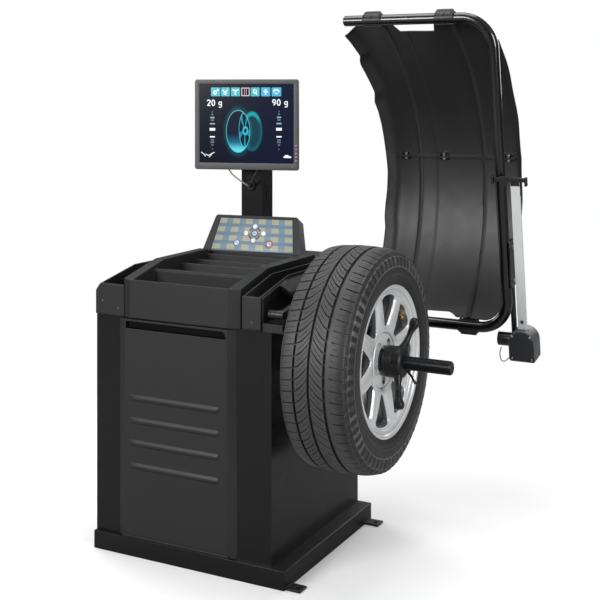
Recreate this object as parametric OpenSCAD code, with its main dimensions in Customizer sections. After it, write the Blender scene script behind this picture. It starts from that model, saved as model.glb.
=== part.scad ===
// Wheel balancer with monitor, quick-release spindle and swing-down wheel hood.
// Millimetres. Origin: centre of the plinth's underside. +X to the spindle side, +Y to the back, +Z up.

/* [Plinth] */
// Width of the plinth along the spindle
plinth_w = 660; // [650:5:680]
// Depth of the plinth, front to back
plinth_d = 600; // [596:2:620]
// Radius of the holes in the anchor lugs
anchor_hole_r = 6.5; // [5:0.5:8]

/* [Cabinet] */
// Thickness of the cabinet sheet
sheet = 2; // [1:0.5:3]
// Stand-off of the ribs on the front cover
rib_h = 4; // [2:0.5:6]

/* [Spindle] */
// Distance of the spindle axis from the floor
axis_z = 621; // [616:1:624]
// Distance of the spindle axis from the middle of the plinth (towards the front)
axis_y = -77; // [-80:1:-74]
// Diameter of the threaded shaft
shaft_d = 40; // [36, 38, 40]
// Free end of the threaded shaft
shaft_end = 744; // [730:2:760]

/* [Wheel] */
// Outer diameter of the tyre
tyre_d = 648; // [630:2:656]
// Number of spokes in the rim
spokes = 8; // [5:1:8]

/* [Console] */
// Turn of the key console towards the operator
console_yaw = 8; // [0:1:10]
// Lean of the key console
console_lean = 23.3; // [20:0.5:26]

/* [Monitor] */
// Turn of the monitor towards the operator
monitor_yaw = 14.7; // [0:0.1:20]
// Width of the monitor
mon_w = 354; // [340:2:360]
// Height of the monitor
mon_h = 298; // [290:2:304]

/* [Hood] */
// Outer diameter of the hood tube
tube_d = 35; // [33:1:35]
// Lean of the open hood frame towards the front
hood_lean = 10; // [8:1:12]
// Number of turns in the hood balance spring
spring_turns = 5; // [4:1:6]

/* [Hidden] */
$fn = 64;
black = "#1b1b1d";
dark = "#2a2b2d";
steel = "#b9bcc0";
plinth_h = 54;
hx = plinth_w / 2;
hy = plinth_d / 2;
top_z = 717.5;
shaft_r = shaft_d / 2;
tube_r = tube_d / 2;
mot_y = 90;
mot_z = 430;

// box from its lowest to its highest corner
module bx(x0, x1, y0, y1, z0, z1) { translate([x0, y0, z0]) cube([x1 - x0, y1 - y0, z1 - z0]); }
// cylinder along X
module xc(x0, x1, y, z, r) { translate([x0, y, z]) rotate([0, 90, 0]) cylinder(h = x1 - x0, r = r); }
// cylinder along Y
module yc(y0, y1, x, z, r) { translate([x, y1, z]) rotate([90, 0, 0]) cylinder(h = y1 - y0, r = r); }
// cylinder along Z
module zc(z0, z1, x, y, r) { translate([x, y, z0]) cylinder(h = z1 - z0, r = r); }
// prism along X of a (y, z) outline
module px(x0, x1, p) { translate([x0, 0, 0]) rotate([90, 0, 90]) linear_extrude(x1 - x0) polygon(p); }
// prism along Y of an (x, z) outline
module py(y0, y1, p) { translate([0, y1, 0]) rotate([90, 0, 0]) linear_extrude(y1 - y0) polygon(p); }
// round piece about the spindle axis from an (r, x) outline
module turned(p) { translate([0, axis_y, axis_z]) rotate([90, 0, 90]) rotate_extrude($fn = 96) polygon(p); }
// frames that other pieces are built in
module on_console() { translate([-42, 162, 862]) rotate([0, 0, console_yaw]) rotate([-console_lean, 0, 0]) children(); }
module on_monitor() { translate([-62, 192, 1286]) rotate([0, 0, monitor_yaw]) translate([0, -56, 0]) children(); }
module on_hood() { translate([0, 470, 626]) rotate([hood_lean, 0, 0]) children(); }
module at_axis() { translate([0, axis_y, axis_z]) children(); }
module on_valve() { at_axis() rotate([-55, 0, 0]) translate([500, 0, 202]) rotate([0, 130, 0]) children(); }

// ---- plinth and cabinet ----
module lug(y0, y1) {
    difference() {
        bx(hx, hx + 46, y0, y1, 0, 6);
        zc(-1, 7, hx + 28, (y0 + y1) / 2, anchor_hole_r);
    }
}
module plinth() color(black) {
    difference() {
        bx(-hx, hx, -hy, hy, 0, plinth_h);
        bx(-hx + 4, hx - 4, -hy + 4, hy - 4, 4, plinth_h - 4);
        bx(-100, 20, -60, 200, plinth_h - 10, plinth_h + 1);
    }
    lug(-hy + 8, -hy + 50);
    lug(hy - 50, hy - 8);
}
cov_x = [-240, -130, -20, 80, 190];
module cabinet_shell() color(black) {
    difference() {
        bx(-329, 283, -287, 297, plinth_h, top_z);
        bx(-329 + sheet, 283 - sheet, -287 + sheet, 297 - sheet, plinth_h + 2, top_z - 2);
        bx(-305, 259, -263, 273, plinth_h - 1, plinth_h + 3);
        bx(-305, 259, -263, 273, top_z - 3, top_z + 1);
        bx(-225, 150, -290, -280, 80, 690);
        bx(-232, 182, 290, 300, 100, 680);
        xc(276, 290, axis_y, axis_z, 64);
        bx(-298, -262, 290, 300, 114, 186);
        for (x = cov_x, z = [88, 692]) yc(290, 300, x, z, 2.6);
        for (x = [105, 255], z = [575, 685]) yc(290, 300, x, z, 4.1);
    }
}
module front_cover() color(dark) {
    translate([0, 0, 55]) linear_extrude(656)
        polygon([[-242, -287], [-216, -299], [143, -299], [170, -287], [166, -287], [142, -296], [-215, -296], [-238, -287]]);
    difference() {
        translate([0, 0, 703]) linear_extrude(8) polygon([[-242, -287], [-216, -299], [143, -299], [170, -287]]);
        py(-300, -296.5, [[-213, 683], [140, 683], [126, 705], [-213, 705]]);
    }
    translate([0, 0, 55]) linear_extrude(4) polygon([[-242, -287], [-216, -299], [143, -299], [170, -287]]);
    for (z = [482, 414, 346.5, 278])
        px(-203, 116, [[-298, z + 4], [-299, z + 4], [-299 - rib_h, z - 4], [-299 - rib_h, z - 10], [-299, z - 16], [-298, z - 16]]);
    bx(-222, 150, -300.5, -298.5, 55, 62);
}
module rear_cover() color(black) difference() {
    bx(-250, 200, 297, 299, 80, 700);
    for (x = cov_x, z = [88, 692]) yc(290, 300, x, z, 2.6);
    for (i = [0:9], x = [-180, 30]) bx(x, x + 100, 296, 300, 180 + i * 16, 186 + i * 16);
    bx(85, 201, 296, 300, 555, 701);
}

// ---- weight trays on top ----
module tray_centre() color(black) {
    difference() {
        union() {
            translate([0, 0, top_z]) linear_extrude(831 - top_z)
                polygon([[-222, -293], [-192, -305], [148, -305], [186, -293], [186, 297], [-222, 297]]);
            for (x = [[-222, -188, 127], [150, 186, 176]])
                px(x[0], x[1], [[-291, 800], [-291, 832], [-130, 870], [x[2], 870], [x[2] + 3, 861.8], [200, 861.8], [200, 800]]);
            bx(-222, 186, 150, 297, 820, 861.8);
        }
        // open compartments between the side rails
        bx(-188, 150, -299, -184, 781, 880);
        bx(-188, 150, -160, 147, 781, 859);
        // hollow underside
        bx(-216, 180, -287, 145, top_z - 1, 778);
        bx(-216, 180, 153, 291, top_z - 1, 858);
        for (x = [[-216, -191], [153, 180]])
            px(x[0], x[1], [[-283, 777], [-283, 828], [-130, 865], [122, 865], [126, 858], [145, 858], [145, 777]]);
    }
    px(-190, 152, [[-184, 779], [-184, 842], [-180, 846], [-164, 846], [-160, 842], [-160, 779]]);
    px(-190, 152, [[-128, 779], [-124, 826], [-120, 826], [-116, 779]]);
    px(-190, 152, [[-44, 779], [-40, 846], [-32, 846], [-28, 779]]);
    px(-190, 152, [[46, 779], [50, 846], [58, 846], [62, 779]]);
    px(-190, 152, [[112, 779], [116, 856], [124, 856], [128, 779]]);
}
module tray_left() color(black) {
    difference() {
        union() {
            py(-295, 297, [[-327, top_z], [-222.4, top_z], [-222.4, 808], [-313, 808], [-327, 788]]);
            intersection() {
                px(-327, -222.4, [[-295, 806], [-295, 810], [-117, 844], [297, 840], [297, 806]]);
                py(-296, 298, [[-315, 780], [-222.4, 780], [-222.4, 900], [-311, 900], [-311, 811]]);
            }
        }
        bx(-307, -226, -290, 180, 742, 900);
        bx(-307, -226, -290, 291, top_z - 1, 738);
        bx(-307, -226, 184, 291, top_z - 1, 834);
        yc(-300, -280, -303, 757, 2.1);
        yc(-300, -280, -245, 738, 2.1);
    }
    bx(-310, -224, -60, -56, 740, 800);
}
module tray_right() color(black) {
    difference() {
        union() {
            // inner block with the narrow open channel
            px(198, 258, [[-302, top_z], [-306, 724], [-306, 814], [-136, 854], [297, 850], [297, top_z]]);
            // lip and floor of the gauge pocket
            bx(198, 324, -298, 297, top_z, 741);
            // shoulder that rises and slopes outwards
            intersection() {
                px(198, 324, [[-296, 740], [-296, 812], [-128, 852], [297, 848], [297, 740]]);
                py(-298, 298, [[198, 730], [296, 730], [296, 802], [290, 814], [258, 846], [256, 880], [198, 880]]);
            }
            // closed rear part
            py(60, 297, [[198, 730], [324, 730], [324, 790], [290, 814], [258, 846], [198, 846]]);
        }
        bx(206, 250, -300, 190, 796, 900);
        py(-300, 190, [[206, 795], [250, 795], [254, 870], [202, 870]]);
        // pocket for the gauge arm, open upwards at the front
        px(262, 330, [[-310, 742], [-310, 900], [-240, 900], [-216, 850], [-176, 797], [-170, 742]]);
        difference() {
            bx(261, 330, -310, 55, 741, 798);
            xc(200, 297.5, 20, 775, 20);
            bx(255, 262, -310, 60, 700, 900);
        }
        bx(204, 318, -290, 291, top_z - 1, 737);
        bx(204, 258, -290, -4, 736, 792);
        bx(204, 258, 44, 291, 736, 790);
        bx(258, 318, 66, 291, 736, 786);
        xc(203, 330, 20, 775, 8.06);
        yc(-310, -280, 228, 742, 2.1);
    }
}

// ---- console ----
keys = [[0, 90], [0, 42], [-29, 65.5], [33, 66.5], [1.5, 66], [-57, 31], [58, 31]];
key_r = [8, 8, 8, 8, 8.5, 8.5, 8.5];
module console_housing() color("#232427") difference() {
    on_console() difference() {
        rotate([90, 0, 0]) translate([0, 0, -54]) linear_extrude(54)
            polygon([[-184, -30], [184, -30], [148, 121], [142, 127], [-142, 127], [-148, 121]]);
        rotate([90, 0, 0]) translate([0, 0, -51]) linear_extrude(47)
            polygon([[-180, -40], [180, -40], [145, 119], [-145, 119]]);
        rotate([90, 0, 0]) translate([0, 0, -2.2]) linear_extrude(4)
            polygon([[-148, 4], [148, 4], [130, 117], [-130, 117]]);
        rotate([90, 0, 0]) translate([0, 0, -10]) linear_extrude(12)
            polygon([[-140, 12], [140, 12], [123, 109], [-123, 109]]);
    }
    bx(-300, 300, 0, 400, 700, 862);
    bx(-110.5, -31.5, 214.5, 400, 860, 1100);
}
module keypad_panel() color("#9fb0ba") on_console() difference() {
    rotate([90, 0, 0]) translate([0, 0, -2.2]) linear_extrude(2)
        polygon([[-147.5, 4.5], [147.5, 4.5], [129.6, 116.6], [-129.6, 116.6]]);
    for (i = [0:6]) yc(-1, 4, keys[i][0], keys[i][1], key_r[i] + 0.4);
}
module key_at(i) on_console() {
    yc(-2, 8, keys[i][0], keys[i][1], key_r[i]);
    yc(3.2, 5, keys[i][0], keys[i][1], key_r[i] + 2);
}
module key_up() color("white") key_at(0);
module key_down() color("white") key_at(1);
module key_left() color("white") key_at(2);
module key_right() color("white") key_at(3);
module key_enter() color("#c5dbe8") key_at(4);
module key_stop() color("#d5dbe8") key_at(5);
module key_start() color("#e3cfcf") key_at(6);

// ---- post and monitor ----
module monitor_post() color(black) {
    difference() {
        bx(-110, -32, 215, 290, 862, 1302);
        bx(-107, -35, 218, 287, 861, 1299);
        yc(210, 220, -71, 1080, 12);
        for (y = [231, 245, 259, 273]) bx(-33.5, -31, y, y + 5, 870, 1301);
    }
    difference() {
        union() {
            bx(-82, -42, 192, 215, 1303 - 8, 1303);
            bx(-82, -42, 192, 215, 1269, 1277);
            zc(1295, 1303, -62, 192, 14);
            zc(1269, 1277, -62, 192, 14);
        }
        zc(1260, 1310, -62, 192, 5.05);
    }
}
module post_grommet() color("#0c0c0d") difference() {
    union() {
        yc(206, 215, -71, 1080, 15);
        yc(215, 219, -71, 1080, 12);
    }
    yc(200, 225, -71, 1080, 6);
}
module monitor_arm() color(dark) {
    zc(1264, 1308, -62, 192, 5);
    zc(1277.3, 1294.7, -62, 192, 12);
    on_monitor() {
        bx(-8, 8, 40, 54, -7, 7);
        xc(-34, 34, 36, 0, 5);
    }
}
module monitor_housing() color(dark) on_monitor() {
    difference() {
        union() {
            py(12, 20, [[-mon_w / 2 + 3, -mon_h / 2 + 3], [mon_w / 2 - 3, -mon_h / 2 + 3], [mon_w / 2 - 3, mon_h / 2 - 3], [-mon_w / 2 + 3, mon_h / 2 - 3]]);
            bx(-120, 120, 19, 28, -105, 105);
        }
        bx(-160, 160, 11, 17, -130, 130);
        bx(-117, 117, 16, 25, -102, 102);
    }
    for (x = [-33, 21]) difference() {
        union() {
            bx(x, x + 12, 27, 36, -9, 9);
            xc(x, x + 12, 36, 0, 9);
        }
        xc(x - 1, x + 13, 36, 0, 5.06);
    }
}
module monitor_bezel() color("#3a3c3f") on_monitor() difference() {
    bx(-mon_w / 2, mon_w / 2, 0, 12, -mon_h / 2, mon_h / 2);
    bx(-160, 160, -1, 13, -126, 133);
    bx(-165, 165, 3, 13, -131, 138);
}
module monitor_screen() color("#0c1a33") on_monitor() bx(-165, 165, 3, 8, -131, 138);
module monitor_buttons() color("#505256") on_monitor()
    for (i = [0:4]) bx(98 + i * 14, 106 + i * 14, -1.5, 0, -142, -138);
module monitor_cables() color("#151517") {
    for (x = [-75, -67]) difference() {
        translate([x, 205.5, 1080]) rotate([28, 0, 0]) zc(0, 34, 0, 0, 3);
        bx(-90, -50, 205.9, 230, 1060, 1130);
    }
}

// ---- spindle ----
module spindle_shaft() color(steel) {
    xc(-95, 300, axis_y, axis_z, 20);
    xc(300, 460, axis_y, axis_z, 25);
}
module threaded_shaft() color("#2b2c2e") difference() {
    union() {
        xc(460, shaft_end - 3, axis_y, axis_z, shaft_r);
        at_axis() translate([shaft_end - 3, 0, 0]) rotate([0, 90, 0]) cylinder(h = 3, r1 = shaft_r, r2 = shaft_r - 3);
    }
    xc(shaft_end - 8, shaft_end + 1, axis_y, axis_z, 4);
    turned([[shaft_r - 1, 609], [shaft_r + 2, 609], [shaft_r + 2, 611], [shaft_r - 1, 611]]);
}
module wheel_flange() color("#8d9196") turned([[25, 318], [36, 318], [46, 340], [46, 470], [60, 487], [95, 487], [95, 503],
    [40, 503], [40, 466], [shaft_r, 466], [shaft_r, 460], [25, 460]]);
module drive_pulley() color("#9ea2a6") turned([[20, -86], [34, -86], [34, -84], [78, -84], [78, -82], [75, -82], [75, -62],
    [78, -62], [78, -60], [34, -60], [34, -56], [20, -56]]);
module encoder_disc() color("#c9ccd0") difference() {
    turned([[20, -42], [28, -42], [28, -39], [52, -39], [52, -37.5], [28, -37.5], [28, -34], [20, -34]]);
    at_axis() for (i = [0:23]) rotate([i * 15, 0, 0]) bx(-45, -30, -1.5, 1.5, 40, 48);
}
module bearing_housing() color("#55585c") difference() {
    union() {
        turned([[36, 30], [55, 30], [55, 305], [36, 305]]);
        bx(60, 220, axis_y - 50, axis_y + 50, 558, 572);
        bx(90, 190, axis_y - 30, axis_y + 30, 570, 590);
    }
    xc(39, 59, axis_y, axis_z, 40);
    xc(270, 290, axis_y, axis_z, 40);
    xc(20, 320, axis_y, axis_z, 36);
    xc(20, 39.5, axis_y, axis_z, 40);
    xc(289.5, 320, axis_y, axis_z, 40);
}
module bearing(x) turned([[20.05, x], [26, x], [26, x + 1], [34, x + 1], [34, x], [40, x], [40, x + 19], [34, x + 19],
    [34, x + 18], [26, x + 18], [26, x + 19], [20.05, x + 19]]);
module spindle_bearings() color(steel) { bearing(40); bearing(270); }
module support_column() color("#3d4043") {
    difference() {
        union() {
            bx(60, 220, -137, -17, plinth_h, 530);
            bx(50, 230, -147, -7, plinth_h, plinth_h + 8);
            bx(50, 230, -147, -7, 530, 542);
        }
        bx(65, 215, -132, -22, plinth_h + 8, 530);
        xc(50, 70, axis_y, 300, 30);
    }
}
module force_sensors() color("#c8a24a") for (x = [85, 195]) difference() {
    zc(542, 558, x, axis_y, 17);
    zc(541, 559, x, axis_y, 4);
}
module motor() color("#44474b") {
    difference() {
        union() {
            xc(-20, 140, mot_y, mot_z, 60);
            for (i = [0:11]) translate([0, mot_y, mot_z]) rotate([i * 30, 0, 0]) bx(0, 120, -2, 2, 58, 65);
            bx(70, 130, -17, 50, 395, 465);
        }
        xc(-21, 60, mot_y, mot_z, 8.06);
    }
}
module motor_pulley() color(steel) {
    xc(-88, 55, mot_y, mot_z, 8);
    translate([0, mot_y, mot_z]) rotate([90, 0, 90]) rotate_extrude()
        polygon([[7, -84], [25, -84], [25, -82], [22, -82], [22, -62], [25, -62], [25, -60], [7, -60]]);
}
module belt_loop(t) hull() {
    translate([axis_y, axis_z]) circle(75.4 + t, $fn = 64);
    translate([mot_y, mot_z]) circle(22.3 + t, $fn = 48);
}
module drive_belt() color("#111112") translate([-80, 0, 0]) rotate([90, 0, 90]) linear_extrude(16) difference() {
    belt_loop(2.4);
    belt_loop(0);
}
module control_board() color("#1f5f3a") {
    bx(-318, -316.4, -150, 60, 300, 480);
    for (y = [-140, 50], z = [310, 470]) xc(-327, -318, y, z, 4);
    bx(-316.4, -300, -130, -90, 330, 370);
    bx(-316.4, -310, -60, -30, 380, 410);
    bx(-316.4, -296, 0, 20, 400, 460);
    for (i = [0:4]) xc(-316.4, -298, -120 + i * 22, 450, 7);
}
module power_supply() color("#8b8f93") {
    bx(-290, -140, -250, -150, plinth_h, plinth_h + 50);
    bx(-160, -150, -225, -175, plinth_h + 50, plinth_h + 58);
}
module power_inlet() color("#101011") difference() {
    union() {
        bx(-302, -258, 297, 299.5, 106, 194);
        bx(-298, -262, 262, 297, 114, 186);
    }
    bx(-294, -266, 280, 300, 118, 142);
    bx(-291, -269, 276, 300, 150, 180);
}
module power_rocker() color("#b3241d") translate([0, 292, 165]) {
    px(-290, -270, [[-4, -7], [6, -11], [8.5, -12], [7, 0], [8.5, 12], [6, 11], [-4, 7], [-8, 3], [-8, -3]]);
    xc(-290.9, -269.1, 0, 0, 2);
}

// ---- wheel ----
tr = tyre_d / 2;
module tyre() color("#1c1c1d") turned([
    [204.2, 371.2], [209.5, 367.2], [218.3, 365], [222, 361], [234, 356.5], [258, 353], [290, 356], [306, 362], [316, 371],
    [tr - 5, 385], [tr - 2, 405], [tr - 9, 406], [tr - 9, 413], [tr - 1.5, 414], [tr, 435], [tr, 451], [tr - 8, 452],
    [tr - 8, 458], [tr, 459], [tr, 475], [tr - 1.5, 496], [tr - 9, 497], [tr - 9, 505], [tr - 2, 506], [tr - 5, 535],
    [315, 549], [305, 558.5], [290, 565], [258, 568], [234, 565.5], [222, 561], [218.3, 557], [209.5, 554.6], [204.2, 551], [204.2, 536],
    [214, 538], [236, 555], [258, 559], [288, 556], [304, 545], [310.5, 531], [312, 505], [312, 416], [310.5, 390],
    [304, 376], [288, 366], [258, 362], [236, 368], [214, 384], [204.2, 386]]);
module window2d() {
    translate([0, 110]) circle(r = 14);
    for (s = [-30, 30]) translate([s, 170]) circle(r = 16);
    polygon([[-12.5, 103.7], [12.5, 103.7], [44.3, 162.8], [30, 186], [-30, 186], [-44.3, 162.8]]);
}
module rim() color("#c9cbce") difference() {
    union() {
        turned([[217.5, 360], [217.5, 364], [209, 366], [203, 370], [203, 392], [192, 402], [180, 414], [180, 450], [192, 466],
            [203, 490], [203, 552], [209, 555.8], [217.5, 558], [217.5, 562], [206, 560], [196, 554], [190, 541], [190, 492],
            [186, 480], [175, 462], [175, 408], [188, 394], [197, 386], [197, 370], [202, 362], [214, 360]]);
        turned([[32, 503], [80, 503], [120, 512], [170, 516], [192, 514], [192, 546], [150, 543], [100, 540], [60, 545], [32, 545]]);
    }
    at_axis() for (i = [0:spokes - 1]) rotate([i * 360 / spokes - 8, 0, 0])
        translate([480, 0, 0]) rotate([90, 0, 90]) linear_extrude(80) window2d();
    at_axis() for (i = [0:4]) rotate([36 + i * 72, 0, 0]) {
        xc(495, 550, 0, 56, 7);
        xc(528, 550, 0, 56, 12);
    }
    on_valve() translate([0, 0, -12]) cylinder(h = 44, r = 5.6);
}
module valve_stem() color("#b08d3c") on_valve() {
    cylinder(h = 33, r = 5.5);
    cylinder(h = 48, r = 4);
}
module centring_cone() color("#8f9498") turned([[shaft_r, 491], [34, 491], [34.3, 492], [24, 534], [shaft_r, 534]]);
module cone_spring() color("#7d8287") translate([466.3, axis_y, axis_z]) rotate([0, 90, 0])
    linear_extrude(height = 24.4, twist = -900, slices = 30) polygon(concat(
        [for (a = [0:35:140]) [30 * cos(a), 30 * sin(a)]], [for (a = [140:-35:0]) [26 * cos(a), 26 * sin(a)]]));
module pressure_cup() color("#141415") turned([[shaft_r + 0.1, 545.3], [44, 545.3], [45, 547], [45, 562], [shaft_r + 0.1, 562]]);
module wing_nut() color("#161617") {
    turned([[shaft_r + 0.1, 562.3], [44, 562.3], [45, 564], [45, 594], [40, 602], [24, 606], [shaft_r + 0.1, 606]]);
    at_axis() for (a = [-30, 150]) rotate([a, 0, 0]) {
        translate([586, 0, 30]) rotate([0, 14, 0]) cylinder(h = 90, r1 = 12.5, r2 = 8);
        translate([586, 0, 30]) rotate([0, 14, 0]) translate([0, 0, 91]) rotate([0, 90, 0]) translate([0, 0, -14]) cylinder(h = 28, r = 14);
    }
}
module release_lever() color("#202022") at_axis() rotate([205, 0, 0]) {
    translate([609.8, 0, 30]) rotate([0, 20, 0]) cylinder(h = 58, r = 3);
    translate([606.8, -6, 22]) cube([6, 12, 14]);
    translate([609.8, 8, 24]) rotate([90, 0, 0]) cylinder(h = 16, r = 2.2);
}

// ---- distance gauge ----
module gauge_rod() color(steel) xc(206, 324, 20, 775, 8);
module gauge_arm() color("#1d1d1f") difference() {
    union() {
        xc(299, 322, 20, 775, 19);
        px(300, 321, [[10, 758], [22, 792], [-20, 802], [-90, 803], [-180, 794], [-250, 782], [-280, 779], [-280, 754],
            [-250, 758], [-180, 768], [-90, 776], [-30, 770]]);
        xc(272, 323, -281, 766.5, 12.5);
    }
    xc(290, 330, 20, 775, 8.06);
}

// ---- hood ----
module hood_bracket() color(black) difference() {
    union() {
        bx(92, 268, 297, 303, 560, 700);
        for (x = [110, 226]) {
            px(x, x + 14, [[302, 566], [302, 694], [470, 652], [488, 645], [488, 607], [470, 598]]);
            xc(x - 3, x + 17, 470, 626, 28);
        }
    }
    xc(90, 280, 470, 626, tube_r + 0.06);
    for (x = [105, 255], z = [575, 685]) yc(290, 310, x, z, 4.1);
}
module bend(cx, cz, a0) translate([cx, 0, cz]) rotate([90, 0, 0]) rotate([0, 0, a0]) rotate_extrude(angle = 90)
    translate([98, 0]) difference() { circle(tube_r); circle(tube_r - 2.5); }
module pipe(h) difference() { cylinder(h = h, r = tube_r); translate([0, 0, -1]) cylinder(h = h + 2, r = tube_r - 2.5); }
module hood_frame() color(black) on_hood() {
    translate([80, 0, 0]) rotate([0, 90, 0]) pipe(561);
    bend(641, 98, 270);
    translate([739, 0, 98]) pipe(820);
    bend(641, 918, 0);
    translate([240, 0, 1016]) rotate([0, 90, 0]) pipe(401);
}
// arc shell: (x, inset) line, 4 thick, radius 628 about an axis in front of the frame
sh = [[250, 30], [262, 16], [280, 6], [300, 0], [372, 0], [378, 5], [384, 0], [470, 0], [476, 3], [482, 0], [640, 0], [646, 6],
    [652, 0], [716, 0], [724, 4], [735, 14]];
module arc(a0, a1, p) translate([0, -369, 508]) rotate([90, 0, 90]) rotate([0, 0, a0])
    rotate_extrude(angle = a1 - a0) polygon(p);
module shell_half(s) {
    arc(s > 0 ? 0.05 : -51.3, s > 0 ? 51.3 : -0.05,
        concat([for (q = sh) [630 - q[1], q[0]]], [for (i = [len(sh) - 1:-1:0]) [626 - sh[i][1], sh[i][0]]]));
    difference() {
        bx(304, 713, 242, 258, s > 0 ? 508.5 : 504.5, s > 0 ? 511.5 : 507.5);
        for (x = [320, 460, 690]) zc(500, 516, x, 249, 3.1);
    }
}
module hood_shell_upper() color("#242426") on_hood() shell_half(1);
module hood_shell_lower() color("#242426") on_hood() shell_half(-1);
module clip(x, s) difference() {
    union() {
        translate([x, 0, s > 0 ? 1016 : 0]) rotate([0, 90, 0]) cylinder(h = 64, r = tube_r + 4);
        arc(s > 0 ? 46 : -53.5, s > 0 ? 53.5 : -46, [[630.2, x + 1.5], [634, x + 1.5], [634, x + 62.5], [630.2, x + 62.5]]);
    }
    translate([x - 1, 0, s > 0 ? 1016 : 0]) rotate([0, 90, 0]) cylinder(h = 66, r = tube_r);
}
module hood_clips() color("#1a1a1b") on_hood() {
    clip(308, 1);
    clip(556, 1);
    clip(308, -1);
    clip(572, -1);
}
module hood_bolts() color("#7b7f84") on_hood() {
    for (x = [320, 460, 690]) {
        zc(500, 516, x, 249, 3);
        zc(516, 520, x, 249, 6);
        zc(498, 504.5, x, 249, 6);
        zc(511.5, 516, x, 249, 5);
    }
    for (z = [165, 275]) xc(761, 766, 10, z, 6);
}
module hood_spring() color("#6d7176") translate([127.5, 470, 626]) rotate([0, 90, 0])
    linear_extrude(height = 94, twist = -360 * spring_turns, slices = 12 * spring_turns) polygon(concat(
        [for (a = [0:30:120]) [25 * cos(a), 25 * sin(a)]], [for (a = [120:-30:0]) [21 * cos(a), 21 * sin(a)]]));

// ---- outside width gauge on the hood ----
module width_gauge_mount() color(black) on_hood() {
    bx(756.5, 761, -14, 39, 145, 295);
    zc(-32, 295, 748.5, 30, 9);
    xc(704, 750, 4, -32, 23);
}
dsh = concat([[751, -84], [836, -84], [836, -24]], [for (a = [10:10:170]) [793.5 + 42.5 * cos(a), -24 + 42.5 * sin(a)]], [[751, -24]]);
dsi = concat([[755, -80], [832, -80], [832, -24]], [for (a = [10:10:170]) [793.5 + 38.5 * cos(a), -24 + 38.5 * sin(a)]], [[755, -24]]);
module width_gauge_box() color("#26272a") on_hood() {
    difference() {
        py(-52, 20, dsh);
        py(-48, 16, dsi);
        py(-31, -22, [[776, -20], [811, -20], [811, 30], [740, 30], [751, -20]]);
    }
    yc(-50, 18, 793.5, -24, 5);
    for (q = [[760, -76], [827, -76], [822, 0]]) yc(-54, -52, q[0], q[1], 4);
}
module width_gauge_bar() color("#c7cacd") on_hood() {
    difference() {
        union() {
            bx(779, 808, -28.5, -24.5, -24, 512);
            yc(-28.5, -24.5, 793.5, -24, 16);
        }
        yc(-40, -10, 793.5, -24, 5.06);
    }
    bx(722, 812, -34.5, -28.5, 470, 490);
    bx(806, 816, -34.5, -20.5, 455, 505);
    bx(722, 728, -40.5, -28.5, 462, 498);
}

plinth();
cabinet_shell();
front_cover();
rear_cover();
tray_centre();
tray_left();
tray_right();
console_housing();
keypad_panel();
key_up();
key_down();
key_left();
key_right();
key_enter();
key_stop();
key_start();
monitor_post();
post_grommet();
monitor_arm();
monitor_housing();
monitor_bezel();
monitor_screen();
monitor_buttons();
monitor_cables();
spindle_shaft();
threaded_shaft();
wheel_flange();
drive_pulley();
encoder_disc();
bearing_housing();
spindle_bearings();
support_column();
force_sensors();
motor();
motor_pulley();
drive_belt();
control_board();
power_supply();
power_inlet();
power_rocker();
tyre();
rim();
valve_stem();
centring_cone();
cone_spring();
pressure_cup();
wing_nut();
release_lever();
gauge_rod();
gauge_arm();
hood_bracket();
hood_frame();
hood_shell_upper();
hood_shell_lower();
hood_clips();
hood_bolts();
hood_spring();
width_gauge_mount();
width_gauge_box();
width_gauge_bar();
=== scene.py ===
import math

import bpy
import bmesh
import numpy as np
from mathutils import Matrix, Vector


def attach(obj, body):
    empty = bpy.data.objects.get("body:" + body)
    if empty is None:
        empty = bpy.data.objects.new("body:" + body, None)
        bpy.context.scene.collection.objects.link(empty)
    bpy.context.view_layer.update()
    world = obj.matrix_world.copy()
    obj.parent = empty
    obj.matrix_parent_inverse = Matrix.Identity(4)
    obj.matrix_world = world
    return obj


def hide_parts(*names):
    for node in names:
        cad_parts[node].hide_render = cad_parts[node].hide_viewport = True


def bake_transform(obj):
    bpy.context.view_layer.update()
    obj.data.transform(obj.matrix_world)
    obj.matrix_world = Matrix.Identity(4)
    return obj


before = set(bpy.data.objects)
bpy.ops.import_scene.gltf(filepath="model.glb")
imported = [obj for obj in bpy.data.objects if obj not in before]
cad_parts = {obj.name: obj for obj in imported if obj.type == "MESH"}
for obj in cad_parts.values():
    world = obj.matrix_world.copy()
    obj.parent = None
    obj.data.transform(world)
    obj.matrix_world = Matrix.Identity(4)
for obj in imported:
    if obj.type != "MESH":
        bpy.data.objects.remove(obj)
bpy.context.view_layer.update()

S = 0.001  # everything below is written in millimetres
sin, cos, pi = math.sin, math.cos, math.pi
T = Matrix.Translation


def rot(deg, axis):
    return Matrix.Rotation(math.radians(deg), 4, axis)


CONSOLE = T((-42, 162, 862)) @ rot(8, "Z") @ rot(-23.3, "X")
MONITOR = T((-62, 192, 1286)) @ rot(14.7, "Z") @ T((0, -56, 0))
HOOD = T((0, 470, 626)) @ rot(10, "X")
AXIS = T((0, -77, 621))


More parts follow.
